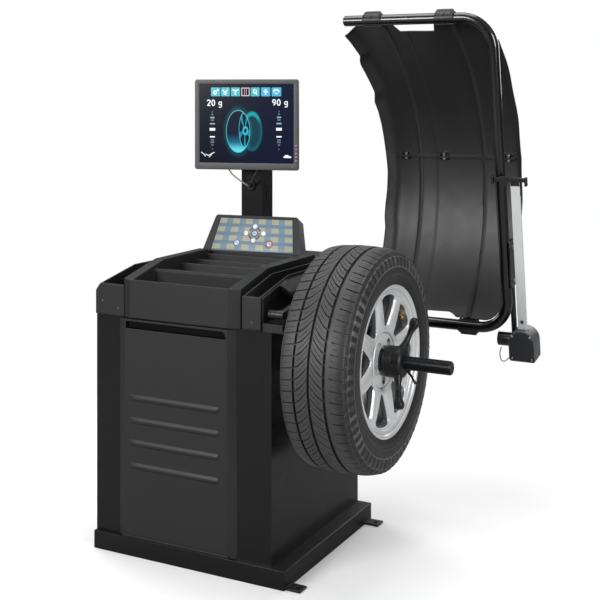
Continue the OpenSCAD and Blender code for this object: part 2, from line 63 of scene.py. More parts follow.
# ------------------------------------------------------------------ meshes
def make(name, verts, faces, mat, body, xf=None, smooth=35, rep=(), slot=None, ids=None, fix=False):
    """A mesh piece from millimetre points; smooth is the angle under which edges are smoothed, or None for flat."""
    v = np.array(verts, float).reshape(-1, 3)
    if xf is not None:
        m = np.array(xf, float)
        v = v @ m[:3, :3].T + m[:3, 3]
    me = bpy.data.meshes.new(name)
    me.from_pydata((v * S).tolist(), [], [list(f) for f in faces])
    me.validate()
    mats = mat if isinstance(mat, (list, tuple)) else [mat]
    for m in mats:
        me.materials.append(m)
    if ids is not None and len(ids) == len(me.polygons):
        me.polygons.foreach_set("material_index", np.array(ids, np.int32))
    if fix:
        bm = bmesh.new()
        bm.from_mesh(me)
        bmesh.ops.recalc_face_normals(bm, faces=bm.faces)
        bm.to_mesh(me)
        bm.free()
    shade(me, smooth)
    o = bpy.data.objects.new(name, me)
    bpy.context.scene.collection.objects.link(o)
    if body:
        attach(o, body)
    if rep:
        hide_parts(*([rep] if isinstance(rep, str) else rep))
    return o


def shade(me, limit):
    n = len(me.polygons)
    if limit is None:
        me.polygons.foreach_set("use_smooth", np.zeros(n, bool))
        return
    me.polygons.foreach_set("use_smooth", np.ones(n, bool))
    bm = bmesh.new()
    bm.from_mesh(me)
    lim = math.radians(limit)
    for e in bm.edges:
        if len(e.link_faces) != 2 or e.calc_face_angle(0) > lim:
            e.smooth = False
    bm.to_mesh(me)
    bm.free()


class Geo:
    """Collects closed shells that go out as one piece."""

    def __init__(self):
        self.v, self.f, self.m = [], [], []

    def add(self, verts, faces, xf=None, mid=0):
        n = len(self.v)
        if xf is not None:
            verts = [tuple(xf @ Vector(p)) for p in verts]
        self.v += [tuple(p) for p in verts]
        self.f += [tuple(i + n for i in f) for f in faces]
        self.m += [mid] * len(faces)
        return self

    def out(self, name, mat, body, **k):
        return make(name, self.v, self.f, mat, body, ids=self.m if isinstance(mat, (list, tuple)) else None, **k)


def grid_faces(nu, nv, wrap_u=False, wrap_v=False, flip=False):
    f = []
    for i in range(nu if wrap_u else nu - 1):
        for j in range(nv if wrap_v else nv - 1):
            a, b = i * nv + j, ((i + 1) % nu) * nv + j
            c, d = ((i + 1) % nu) * nv + (j + 1) % nv, i * nv + (j + 1) % nv
            f.append((a, d, c, b) if flip else (a, b, c, d))
    return f


def lathe(profile, n=96, axis="X"):
    """Closed solid turned about an axis from an (r, h) loop with r > 0 everywhere, or a line that starts and ends at r 0."""
    p = [(r, h) for r, h in profile]
    poles = p[0][0] < 1e-6 and p[-1][0] < 1e-6
    v, f = [], []
    ring = p[1:-1] if poles else p
    m = len(ring)
    for i in range(n):
        a = 2 * pi * i / n
        for r, h in ring:
            v.append((h, -r * cos(a), r * sin(a)) if axis == "X" else (r * cos(a), r * sin(a), h) if axis == "Z" else (r * sin(a), h, r * cos(a)))
    for i in range(n):
        k = (i + 1) % n
        for j in range(m - 1 if poles else m):
            l = (j + 1) % m
            f.append((i * m + j, i * m + l, k * m + l, k * m + j))
    if poles:
        for h, j in ((p[0][1], 0), (p[-1][1], m - 1)):
            c = len(v)
            v.append((h, 0, 0) if axis == "X" else (0, 0, h) if axis == "Z" else (0, h, 0))
            for i in range(n):
                k = (i + 1) % n
                f.append((c, i * m + j, k * m + j) if j == 0 else (c, k * m + j, i * m + j))
    return v, f


def prism(outline, h0, h1, axis="Z"):
    """Closed prism of a 2-D loop: axis Z takes (x, y), X takes (y, z), Y takes (x, z)."""
    n = len(outline)
    put = {"Z": lambda a, b, h: (a, b, h), "X": lambda a, b, h: (h, a, b), "Y": lambda a, b, h: (a, h, b)}[axis]
    v = [put(a, b, h0) for a, b in outline] + [put(a, b, h1) for a, b in outline]
    f = [tuple(range(n - 1, -1, -1)), tuple(range(n, 2 * n))]
    f += [(i, (i + 1) % n, n + (i + 1) % n, n + i) for i in range(n)]
    return v, f


def block(x0, x1, y0, y1, z0, z1):
    return prism([(x0, y0), (x1, y0), (x1, y1), (x0, y1)], z0, z1)


def rrect(x0, x1, y0, y1, r, n=6):
    """Rounded rectangle loop."""
    out = []
    for cx, cy, a0 in ((x1 - r, y1 - r, 0), (x0 + r, y1 - r, 90), (x0 + r, y0 + r, 180), (x1 - r, y0 + r, 270)):
        for i in range(n + 1):
            a = math.radians(a0 + 90 * i / n)
            out.append((cx + r * cos(a), cy + r * sin(a)))
    return out


def rounded_poly(pts, r, n=5):
    """Loop with each corner rounded by radius r (a number or one per corner)."""
    out, m = [], len(pts)
    for i in range(m):
        ri = r[i] if isinstance(r, (list, tuple)) else r
        p = Vector(pts[i])
        a, b = Vector(pts[i - 1]) - p, Vector(pts[(i + 1) % m]) - p
        if ri < 1e-6:
            out.append(tuple(p))
            continue
        ang = a.angle(b)
        d = min(ri / math.tan(ang / 2), a.length * 0.49, b.length * 0.49)
        r2 = d * math.tan(ang / 2)
        p0, p1 = p + a.normalized() * d, p + b.normalized() * d
        c = p + (a.normalized() + b.normalized()).normalized() * (r2 / sin(ang / 2))
        v0, v1 = p0 - c, p1 - c
        tot = v0.angle_signed(v1) if v0.length > 1e-9 else 0
        for k in range(n + 1):
            t = -tot * k / n
            out.append((c.x + v0.x * cos(t) - v0.y * sin(t), c.y + v0.x * sin(t) + v0.y * cos(t)))
    return out


def pipe(points, r, n=16, ends=True, closed=False):
    """Closed tube along a path; r is a number or one per point. Ends are closed flat."""
    p = [Vector(q) for q in points]
    m = len(p)
    rr = list(r) if isinstance(r, (list, tuple)) else [r] * m
    tan = []
    for i in range(m):
        if closed:
            t = p[(i + 1) % m] - p[i - 1]
        else:
            t = p[min(i + 1, m - 1)] - p[max(i - 1, 0)]
        tan.append(t.normalized())
    ref = Vector((0, 0, 1)) if abs(tan[0].z) < 0.9 else Vector((1, 0, 0))
    u = tan[0].cross(ref).normalized()
    v, f = [], []
    for i in range(m):
        u = (u - tan[i] * u.dot(tan[i])).normalized()
        w = tan[i].cross(u)
        for k in range(n):
            a = 2 * pi * k / n
            v.append(tuple(p[i] + (u * cos(a) + w * sin(a)) * rr[i]))
    for i in range(m if closed else m - 1):
        for k in range(n):
            a, b = i * n + k, i * n + (k + 1) % n
            c, d = ((i + 1) % m) * n + (k + 1) % n, ((i + 1) % m) * n + k
            f.append((a, b, c, d))
    if not closed:
        f.append(tuple(range(n - 1, -1, -1)))
        f.append(tuple((m - 1) * n + k for k in range(n)))
    return v, f


def coil(x0, x1, R, r, turns, n=14, steps=28, axis="X"):
    pts = []
    m = int(turns * steps)
    for i in range(m + 1):
        t = i / m
        e = min(t, 1 - t) * turns
        a = 2 * pi * turns * t
        x = x0 + (x1 - x0) * t
        pts.append((x, R * cos(a), R * sin(a)))
    return pipe(pts, r, n)


def smoothstep(a, b, x):
    t = min(1, max(0, (x - a) / (b - a)))
    return t * t * (3 - 2 * t)


def bevel(o, width, seg=2, angle=30, weld=False, planar=None):
    if weld:
        m = o.modifiers.new("weld", "WELD")
        m.merge_threshold = 2e-6
    if planar is not None:
        m = o.modifiers.new("planar", "DECIMATE")
        m.decimate_type = "DISSOLVE"
        m.angle_limit = math.radians(planar)
    m = o.modifiers.new("bevel", "BEVEL")
    m.width = width * S
    m.segments = seg
    m.limit_method = "ANGLE"
    m.angle_limit = math.radians(angle)
    m.miter_outer = "MITER_ARC"
    m.harden_normals = False
    m.use_clamp_overlap = True
    w = o.modifiers.new("normals", "WEIGHTED_NORMAL")
    w.keep_sharp = True
    w.weight = 60
    return o


def apply_mods(o):
    """Bakes the modifiers of one of this script's own pieces into its mesh."""
    bpy.context.view_layer.update()
    dg = bpy.context.evaluated_depsgraph_get()
    me = bpy.data.meshes.new_from_object(o.evaluated_get(dg), depsgraph=dg)
    old = o.data
    o.modifiers.clear()
    o.data = me
    bpy.data.meshes.remove(old)
    return o


def cut(o, tools, solver="EXACT"):
    """Cuts closed shells (verts, faces) out of one of this script's own pieces."""
    for v, f in tools:
        me = bpy.data.meshes.new("cutter")
        me.from_pydata([(a * S, b * S, c * S) for a, b, c in v], [], [list(q) for q in f])
        bm = bmesh.new()
        bm.from_mesh(me)
        bmesh.ops.recalc_face_normals(bm, faces=bm.faces)
        bm.to_mesh(me)
        bm.free()
        c = bpy.data.objects.new("cutter", me)
        bpy.context.scene.collection.objects.link(c)
        m = o.modifiers.new("cut", "BOOLEAN")
        m.operation, m.object, m.solver = "DIFFERENCE", c, solver
        apply_mods(o)
        bpy.data.objects.remove(c)
    return o


# ------------------------------------------------------------------ materials
def lin(h):
    h = h.lstrip("#")
    c = [int(h[i:i + 2], 16) / 255 for i in (0, 2, 4)]
    return [x / 12.92 if x <= 0.04045 else ((x + 0.055) / 1.055) ** 2.4 for x in c]


class Tree:
    """Short hands for building a node tree."""

    def __init__(self, name):
        self.m = bpy.data.materials.new(name)
        self.m.use_nodes = True
        self.t = self.m.node_tree
        self.t.nodes.clear()
        self.out = self.n("ShaderNodeOutputMaterial")
        self.p = self.n("ShaderNodeBsdfPrincipled")
        self.l(self.p.outputs[0], self.out.inputs[0])
        self.co = self.n("ShaderNodeTexCoord").outputs["Object"]

    def n(self, kind, **k):
        node = self.t.nodes.new(kind)
        for a, b in k.items():
            setattr(node, a, b)
        return node

    def l(self, a, b):
        self.t.links.new(a, b)

    def put(self, socket, value):
        if isinstance(value, bpy.types.NodeSocket):
            self.l(value, socket)
        elif isinstance(value, (list, tuple)) and len(value) == 3 and len(socket.default_value) == 4:
            socket.default_value = (*value, 1)
        else:
            socket.default_value = value

    def math(self, op, a, b=0.0, c=0.0, clamp=False):
        n = self.n("ShaderNodeMath", operation=op, use_clamp=clamp)
        for s, x in zip(n.inputs, (a, b, c)):
            self.put(s, x)
        return n.outputs[0]

    def vmath(self, op, a, b=(0, 0, 0)):
        n = self.n("ShaderNodeVectorMath", operation=op)
        self.put(n.inputs[0], a)
        if op == "SCALE":
            self.put(n.inputs["Scale"], b)
        else:
            self.put(n.inputs[1], b)
        return n.outputs["Value"] if op in ("LENGTH", "DOT_PRODUCT", "DISTANCE") else n.outputs[0]

    def noise(self, scale, detail=3.0, rough=0.55, co=None, stretch=None, kind="FBM"):
        n = self.n("ShaderNodeTexNoise")
        v = co or self.co
        if stretch:
            v = self.vmath("MULTIPLY", v, stretch)
        self.l(v, n.inputs["Vector"])
        n.inputs["Scale"].default_value = scale
        n.inputs["Detail"].default_value = detail
        n.inputs["Roughness"].default_value = rough
        return n.outputs["Fac"]

    def voronoi(self, scale, co=None, feature="F1"):
        n = self.n("ShaderNodeTexVoronoi", feature=feature)
        self.l(co or self.co, n.inputs["Vector"])
        n.inputs["Scale"].default_value = scale
        return n.outputs["Distance"]

    def ramp(self, fac, lo, hi, a=0.0, b=1.0):
        n = self.n("ShaderNodeMapRange", interpolation_type="SMOOTHSTEP")
        for s, x in zip(n.inputs, (fac, lo, hi, a, b)):
            self.put(s, x)
        return n.outputs[0]

    def mix(self, fac, a, b):
        n = self.n("ShaderNodeMix", data_type="RGBA")
        self.put(n.inputs[0], fac)
        self.put(n.inputs[6], a)
        self.put(n.inputs[7], b)
        return n.outputs[2]

    def xyz(self, v=None):
        n = self.n("ShaderNodeSeparateXYZ")
        self.l(v or self.co, n.inputs[0])
        return n.outputs

    def bump(self, height, strength, dist, normal=None):
        n = self.n("ShaderNodeBump")
        n.inputs["Strength"].default_value = strength
        n.inputs["Distance"].default_value = dist
        self.l(height, n.inputs["Height"])
        if normal is not None:
            self.l(normal, n.inputs["Normal"])
        return n.outputs[0]

    def edge(self, radius, samples=4):
        n = self.n("ShaderNodeBevel", samples=samples)
        n.inputs["Radius"].default_value = radius
        return n.outputs[0]

    def edge_highlight(self, radius=0.0016):
        """1 along sharp edges, 0 on flat ground; the materials use it to paint edges paler as a highlight."""
        b = self.edge(radius)
        g = self.n("ShaderNodeNewGeometry").outputs["Normal"]
        d = self.vmath("DOT_PRODUCT", b, g)
        return self.ramp(d, 0.985, 0.8, 0.0, 1.0)

    def local(self, matrix):
        """Coordinates in one of the frames above, in millimetres."""
        inv = matrix.inverted()
        q = self.vmath("SCALE", self.co, 1000.0)
        rows = []
        for i in range(3):
            d = self.vmath("DOT_PRODUCT", q, tuple(inv[i][:3]))
            rows.append(self.math("ADD", d, inv[i][3]))
        c = self.n("ShaderNodeCombineXYZ")
        for i in range(3):
            self.l(rows[i], c.inputs[i])
        return c.outputs[0], rows

    def set(self, **k):
        names = {"color": "Base Color", "rough": "Roughness", "metal": "Metallic", "spec": "Specular IOR Level", "normal": "Normal",
                 "coat": "Coat Weight", "coat_rough": "Coat Roughness", "sheen": "Sheen Weight", "emit": "Emission Color",
                 "power": "Emission Strength", "aniso": "Anisotropic", "trans": "Transmission Weight", "ior": "IOR", "alpha": "Alpha"}
        for a, v in k.items():
            self.put(self.p.inputs[names[a]], v)
        return self.m


def painted(name, color, rough=0.35, peel=0.25, scale=420, coat=0.3, vary=0.12, dust_and_shade=0.0, edge_highlight=0.25, edge=0.0013, spec=0.5):
    """Powder coat: orange peel, slight mottling, edges painted paler as a highlight, some dust on faces that look up.
    """
    t = Tree(name)
    c = lin(color) if isinstance(color, str) else color
    big = t.noise(5.0, 4, 0.6)
    fine = t.noise(scale, 2, 0.5)
    a, b = [x * (1 - vary) for x in c], [x * (1 + vary) + 0.001 for x in c]
    col = t.mix(big, a, b)
    w = t.edge_highlight(edge)
    # painted highlight: sharp edges are painted paler than the paint
    col = t.mix(t.math("MULTIPLY", w, edge_highlight), col, [min(1, x * 3.2 + 0.03) for x in c])
    if dust_and_shade:
        g = t.n("ShaderNodeNewGeometry").outputs["Normal"]
        up = t.ramp(t.xyz(g)[2], 0.4, 1.0)
        col = t.mix(t.math("MULTIPLY", t.math("MULTIPLY", up, t.noise(9, 5, 0.7)), dust_and_shade), col, (0.22, 0.22, 0.21))
    r = t.math("ADD", t.math("MULTIPLY", t.noise(38, 4, 0.6), 0.16), rough - 0.08)
    n = t.bump(fine, peel, 0.0004, t.edge(edge))
    return t.set(color=col, rough=r, normal=n, coat=coat, coat_rough=0.12 + rough * 0.2, spec=spec)


def moulded(name, color, rough=0.55, grain=0.35, scale=900, vary=0.1, edge_highlight=0.2, edge=0.001, sheen=0.0, spec=0.45):
    """Fine-grained moulded plastic; sharp edges painted paler as a highlight."""
    t = Tree(name)
    c = lin(color) if isinstance(color, str) else color
    col = t.mix(t.noise(7, 4, 0.6), [x * (1 - vary) for x in c], [x * (1 + vary) + 0.001 for x in c])
    w = t.edge_highlight(edge)
    # painted highlight: sharp edges are painted paler than the plastic
    col = t.mix(t.math("MULTIPLY", w, edge_highlight), col, [min(1, x * 2.5 + 0.03) for x in c])
    g = t.math("ADD", t.math("MULTIPLY", t.voronoi(scale), 0.8), t.math("MULTIPLY", t.noise(scale * 2.2, 2), 0.4))
    r = t.math("ADD", t.math("MULTIPLY", t.noise(24, 4, 0.65), 0.14), rough - 0.07)
    return t.set(color=col, rough=r, normal=t.bump(g, grain, 0.00025, t.edge(edge)), spec=spec, sheen=sheen)


def metal(name, color, rough=0.3, lines=None, grain=0.15, scale=700, vary=0.12, edge=0.0008, aniso=0.0, coat=0.0, streak=(1, 1, 1), metallic=1.0):
    """Bare or plated metal; lines is (axis, scale) of turning or brushing marks, streak stretches the mottling."""
    t = Tree(name)
    c = lin(color) if isinstance(color, str) else color
    col = t.mix(t.noise(14, 5, 0.65, stretch=streak), [x * (1 - vary) for x in c], [min(1, x * (1 + vary)) for x in c])
    w = t.edge_highlight(edge)
    # painted highlight: sharp edges are painted brighter than the metal
    col = t.mix(t.math("MULTIPLY", w, 0.35), col, [min(1, x * 1.5 + 0.05) for x in c])
    h = t.noise(scale, 3, 0.6)
    if lines:
        x = t.xyz()[lines[0]]
        s = t.n("ShaderNodeTexNoise", noise_dimensions="1D")
        t.l(x, s.inputs["W"])
        s.inputs["Scale"].default_value = lines[1]
        s.inputs["Detail"].default_value = 2
        h = t.math("ADD", t.math("MULTIPLY", s.outputs["Fac"], 1.2), t.math("MULTIPLY", h, 0.4))
    r = t.math("ADD", t.math("MULTIPLY", t.noise(30, 4, 0.6, stretch=streak), 0.18), rough - 0.09)
    return t.set(color=col, rough=r, metal=metallic, normal=t.bump(h, grain, 0.0003, t.edge(edge)), aniso=aniso, coat=coat, coat_rough=0.08)


M = {}
M["paint"] = painted("paint_black_gloss", "#09090a", rough=0.3, peel=0.15, scale=520, coat=0.12, dust_and_shade=0.012, edge_highlight=0.3, spec=0.3)
M["plinth"] = painted("paint_black_plinth", "#0b0b0c", rough=0.36, peel=0.25, scale=430, coat=0.1, dust_and_shade=0.03, edge_highlight=0.5, edge=0.002, spec=0.3)
M["cover"] = painted("paint_cover_satin", "#202021", rough=0.5, peel=0.3, scale=650, coat=0.03, vary=0.08, edge_highlight=0.45, edge=0.002, spec=0.35)
M["tray"] = moulded("plastic_tray_black", "#1e1e1f", rough=0.45, grain=0.3, scale=1100, edge_highlight=0.9, edge=0.0026, spec=0.4)
M["console"] = moulded("plastic_console", "#121214", rough=0.55, grain=0.5, scale=1000, edge_highlight=0.3)
M["post"] = painted("paint_post", "#060607", rough=0.36, peel=0.15, scale=600, coat=0.04, spec=0.2, edge_highlight=0.8, edge=0.002)
M["tube"] = painted("paint_tube_gloss", "#060607", rough=0.2, peel=0.1, scale=300, coat=0.6, edge_highlight=0.05, spec=0.4)
M["clip"] = moulded("plastic_clip", "#131314", rough=0.42, grain=0.3, scale=900, edge_highlight=0.3)
M["nut"] = moulded("plastic_nut", "#0c0c0d", rough=0.42, grain=0.35, scale=1200, edge_highlight=0.15)
M["gaugebox"] = moulded("plastic_gauge_box", "#232427", rough=0.45, grain=0.35, scale=1000, edge_highlight=0.25)
M["gaugecap"] = moulded("plastic_gauge_rim", "#4a4c4f", rough=0.42, grain=0.3, scale=1000, edge_highlight=0.3)
M["grey"] = painted("paint_frame_grey", "#3d4043", rough=0.5, scale=400)
M["motor"] = painted("paint_motor", "#43474b", rough=0.45, peel=0.5, scale=260)
M["cast"] = metal("metal_cast", "#85898d", rough=0.48, grain=0.5, scale=320, vary=0.2)
M["flange"] = metal("metal_flange", "#9b9fa3", rough=0.3, lines=(0, 900), grain=0.25)
M["steel"] = metal("metal_turned", "#b4b7ba", rough=0.24, lines=(0, 1500), grain=0.2)
M["zinc"] = metal("metal_zinc", "#a6aaae", rough=0.32, grain=0.3, scale=500, vary=0.2)
M["spring"] = metal("metal_spring", "#6f7377", rough=0.35, grain=0.3, scale=500, vary=0.2)
M["bar"] = metal("metal_gauge_bar", "#d4d5d6", rough=0.5, grain=0.15, scale=260, vary=0.07, streak=(3, 3, 0.25), metallic=0.35)
M["alu"] = metal("metal_plain_aluminium", "#b9bcbf", rough=0.4, grain=0.2, scale=500)
M["brass"] = metal("metal_brass", "#b8963f", rough=0.3, grain=0.2, scale=600, vary=0.2)
M["sensor"] = metal("metal_sensor", "#c4a458", rough=0.35, lines=(2, 1200), grain=0.2)
M["thread"] = metal("metal_black_thread", "#232426", rough=0.3, grain=0.25, scale=500, vary=0.25, metallic=0.9)
M["screw"] = metal("metal_black_screw", "#55585b", rough=0.35, grain=0.2, scale=900)
M["rocker"] = moulded("plastic_rocker_red", "#a81f18", rough=0.3, grain=0.15)
M["inlet"] = moulded("plastic_inlet", "#131314", rough=0.5)
M["cable"] = moulded("cable_black", "#101011", rough=0.6, grain=0.2, scale=500)
M["belt"] = moulded("belt_rubber", "#121213", rough=0.75, grain=0.5, scale=700)
M["grommet"] = moulded("rubber_grommet", "#0b0b0c", rough=0.7, grain=0.4, scale=600)
M["board"] = moulded("board_green", "#1d5c36", rough=0.4, grain=0.2, scale=300, vary=0.2)
M["bezel"] = moulded("plastic_bezel", "#434343", rough=0.42, grain=0.25, scale=1300, edge_highlight=0.3, edge=0.0012)
M["backshell"] = moulded("plastic_monitor_back", "#2b2c2e", rough=0.5, grain=0.4, scale=900)


# ------------------------------------------------------------------ tyre
def tyre_piece():
    pitches, per = 64, 7
    step = 360 / pitches
    rows = pitches * per
    mid, R = 455.5, 324.0
    # columns across the tread: (x, radius, depth, zone)
    crown = lambda x: 324 - 2.2 * (abs(x - mid) / 50) ** 2 if abs(x - mid) < 50 else 321.8 - 7.5 * ((abs(x - mid) - 50) / 42) ** 2
    def lin_cols(a, b, n, zone):
        return [(a + (b - a) * i / (n - 1), zone) for i in range(n)]
    cols = []
    cols += lin_cols(368, 405.4, 11, "A")
    cols += [(406.2, "g"), (413.0, "g")]
    cols += lin_cols(413.8, 451.2, 13, "B")
    cols += [(452.1, "g"), (458.9, "g")]
    cols += lin_cols(459.8, 496.4, 13, "C")
    cols += [(497.3, "g"), (504.9, "g")]
    cols += lin_cols(505.8, 552, 13, "D")

    def lift(x):  # how far up the tyre the pattern runs at this column, mm along the tread
        d = abs(x - mid)
        if d < 42:
            return 44 * (1 - (d / 42)) ** 1.45
        return -7 * ((d - 42) / 50)

    def shape(x, zone):
        """(groove width mm, groove depth, sipe width, sipe depth) of the cross grooves at this column."""
        if zone == "g":
            return (4.2, 0, 1.0, 0)
        if zone == "A":
            return (5.2, 6.6 * smoothstep(366, 372, x), 1.8, 3.4 * smoothstep(372, 378, x) * smoothstep(400, 394, x))
        if zone == "B":
            t = (x - 413.8) / 37.4
            return (6.6 - 2.6 * t, 7.0 * smoothstep(1.0, 0.84, t), 2.6, 4.4 * smoothstep(0.95, 0.8, t) * smoothstep(0.1, 0.25, t))
        if zone == "C":
            t = (x - 459.8) / 36.6
            return (4.0 + 2.6 * t, 7.0 * smoothstep(0.0, 0.16, t), 2.6, 4.4 * smoothstep(0.05, 0.2, t) * smoothstep(0.9, 0.75, t))
        t = (x - 505.8) / 40.2
        return (5.2, 6.6 * smoothstep(0.22, 0.34, t), 2.0, 3.6 * smoothstep(0.30, 0.42, t) * smoothstep(1.0, 0.9, t))

    groove_mm = 2 * pi * R / pitches
    prof = []  # each column: (x, [radius for every row], [angle for every row])
    for x, zone in cols:
        base = crown(x)
        w, dg, ws, ds = shape(x, zone)
        full = 8.2 if zone == "g" else 0
        half = 0.5 if zone in "CD" else 0.0
        if zone == "g" and x > mid:
            half = 0.5
        ph = [0, 0.7, w - 0.7, w, groove_mm * 0.5 - ws / 2 + w / 2, groove_mm * 0.5 + w / 2, groove_mm * 0.5 + ws / 2 + w / 2]
        dep = [0, dg, dg, 0, 0, ds, 0]
        rr, aa = [], []
        for k in range(pitches):
            for j in range(per):
                a = (k + half) * step + (ph[j] + lift(x)) / R * 180 / pi
                rr.append(base - full - (0 if full else dep[j]))
                aa.append(math.radians(a))
        prof.append((x, rr, aa))

    # sidewalls: same rows, spaced evenly; (x, r, rib height, rib on)
    def even(j, a0):
        return math.radians(a0 + 360 * j / rows)
    outer = [(548.6, 314.5, 1.0), (550.6, 311.0, 1.0), (552.4, 307.0, 0.9), (553.6, 303.2, 0.0), (554.3, 302.4, 0), (555.4, 302.0, 0), (555.6, 301.0, 0),
             (555.0, 300.2, 0), (555.4, 299.4, 2), (557.4, 293.0, 2), (558.9, 286.0, 2), (560.0, 279.0, 2), (560.7, 273.0, 2), (560.5, 272.0, 0),
             (561.4, 271.4, 0), (561.5, 270.2, 0), (560.8, 269.6, 0), (561.0, 263.0, 0), (560.9, 254.0, 0), (560.3, 249.0, 0), (560.9, 248.2, 0),
             (561.0, 246.6, 0), (560.0, 245.8, 0), (558.9, 240.0, 0), (557.6, 236.0, 0), (558.4, 235.2, 0), (558.5, 233.4, 0), (557.0, 230.0, 0),
             (555.6, 224.0, 0), (554.0, 220.0, 0), (551.0, 215.0, 0), (549.5, 212.0, 0), (549.5, 204.6, 0)]
    outer = [(x + 6, r - 2 * smoothstep(250, 300, r), k) for x, r, k in outer]
    a0c = 0.5 * step
    ring = []
    for x, r, kind in outer:
        rr, aa, xx = [], [], []
        for j in range(rows):
            h = 0
            if kind and kind <= 1.0:      # wrap-over of the shoulder grooves
                h = -2.6 * kind if (j % per) in (1, 2) else 0
            if kind == 2:                 # fine radial hatching round the upper sidewall
                h = 1.5 if j % 7 in (0, 1, 2) else -0.5
            rr.append(r + h * 0.25)
            xx.append(x + h)
            aa.append(even(j, a0c))
        ring.append((xx, rr, aa))
    inner = [(530, 204.6), (530.5, 213), (549, 236), (553, 258), (550, 288), (540, 304), (524, 312), (500, 314), (416, 314), (392, 312),
             (376, 304), (366, 288), (362, 258), (368, 236), (384, 214), (386, 204.6)]
    inner = [(x + (6 if x > 520 else 1 if x < 400 else 0), r - 2 * smoothstep(250, 300, r)) for x, r in inner]
    inner_rings = [([x] * rows, [r] * rows, [even(j, a0c * (1 - i / 15)) for j in range(rows)]) for i, (x, r) in enumerate(inner)]
    left = []
    for x, r, kind in reversed(outer):
        lx = 2 * mid - x + 9.5  # mirrored wall
        rr, aa, xx = [], [], []
        for j in range(rows):
            h = 0
            if kind and kind <= 1.0:
                h = -2.6 * kind if (j % per) in (1, 2) else 0
            if kind == 2:
                h = 1.5 if j % 7 in (0, 1, 2) else -0.5
            rr.append(r + h * 0.25)
            xx.append(lx - h)
            aa.append(even(j, 0))
        left.append((xx, rr, aa))
    # blend the angles over the shoulder so that the cross grooves meet the even rows
    allr = [([x] * rows, rr, aa) for x, rr, aa in prof]
    last, first = allr[-1][2], allr[0][2]
    for i in range(4):
        t = (i + 1) / 5
        e = ring[i][2]
        ring[i] = (ring[i][0], ring[i][1], [last[j] * (1 - t) + e[j] * t for j in range(rows)])
        e = left[-1 - i][2]
        left[-1 - i] = (left[-1 - i][0], left[-1 - i][1], [first[j] * (1 - t) + e[j] * t for j in range(rows)])
    rings = allr + ring + inner_rings + left
    v = []
    for xx, rr, aa in rings:
        for j in range(rows):
            v.append((xx[j], -77 - rr[j] * cos(aa[j]), 621 + rr[j] * sin(aa[j])))
    n, f = len(rings), []
    for i in range(n):
        for j in range(rows):
            a, b = i * rows + j, i * rows + (j + 1) % rows
            c, d = ((i + 1) % n) * rows + (j + 1) % rows, ((i + 1) % n) * rows + j
            f.append((a, b, c, d))
    # rubber
    t = Tree("rubber_tyre")
    q, rows3 = t.local(AXIS)
    x, y, z = rows3
    rad = t.math("SQRT", t.math("ADD", t.math("MULTIPLY", y, y), t.math("MULTIPLY", z, z)))
    big, fine = t.noise(6, 4, 0.6), t.noise(330, 3, 0.6)
    tread = t.ramp(rad, 307, 316)
    deep = t.math("MULTIPLY", tread, t.ramp(rad, 320.5, 314.5))
    c = t.mix(big, lin("#161617"), lin("#202021"))
    c = t.mix(t.math("MULTIPLY", tread, 0.75), c, t.mix(t.noise(30, 4, 0.7), lin("#2a2a2b"), lin("#474748")))
    # painted shade: the wall near the bead, below radius 240 mm, is painted near black
    c = t.mix(t.ramp(rad, 240, 226, 0.0, 0.9), c, lin("#050505"))
    # painted shade: the groove floors of the tread, below radius 315 to 320 mm, are painted near black
    c = t.mix(t.ramp(rad, 320.0, 315.0, 0.0, 0.85), c, t.mix(tread, c, lin("#0a0a0a")))
    band = t.math("MULTIPLY", t.ramp(rad, 270, 273), t.ramp(rad, 302, 299))
    c = t.mix(t.math("MULTIPLY", band, 0.6), c, lin("#101011"))
    ang = t.math("MULTIPLY", t.math("ARCTAN2", z, t.math("MULTIPLY", y, -1.0)), 64 / (2 * pi))
    # painted highlight: the ribs round the upper sidewall are painted pale grey in noisy patches
    rib_highlight = t.ramp(t.math("ABSOLUTE", t.math("SUBTRACT", t.math("FRACT", t.math("ADD", ang, 63.86)), 0.5)), 0.25, 0.19)
    c = t.mix(t.math("MULTIPLY", t.math("MULTIPLY", band, rib_highlight), t.ramp(t.noise(7, 4, 0.7), 0.42, 0.62, 0.10, 0.75)), c, lin("#6a6b6d"))
    # painted highlight: a pale ring along the small ridge near radius 270 mm
    line = t.math("MULTIPLY", t.ramp(rad, 268.2, 269.0), t.ramp(rad, 271.4, 270.6))
    c = t.mix(t.math("MULTIPLY", line, 0.6), c, lin("#6c6d6f"))
    # painted highlight: sharp edges are painted pale grey, most on the ribbed band
    w = t.edge_highlight(0.0012)
    c = t.mix(t.math("MULTIPLY", w, t.math("ADD", 0.30, t.math("MULTIPLY", band, 0.65))), c, lin("#9a9b9c"))
    r = t.math("ADD", 0.46, t.math("MULTIPLY", t.noise(26, 4, 0.65), 0.22))
    # moulding lines: very fine rings on the wall and scuffing on the tread
    s = t.n("ShaderNodeTexNoise", noise_dimensions="1D")
    t.l(rad, s.inputs["W"])
    s.inputs["Scale"].default_value = 1.1
    hgt = t.math("ADD", t.math("MULTIPLY", fine, 0.6), t.math("MULTIPLY", s.outputs["Fac"], t.math("SUBTRACT", 1.0, tread)))
    t.set(color=c, rough=r, normal=t.bump(hgt, 0.3, 0.0006), spec=0.5, sheen=0.08)
    o = make("tyre_with_tread", v, f, t.m, "spindle", smooth=28, rep="tyre", slot="tyre", fix=True)
    return o


tyre_piece()


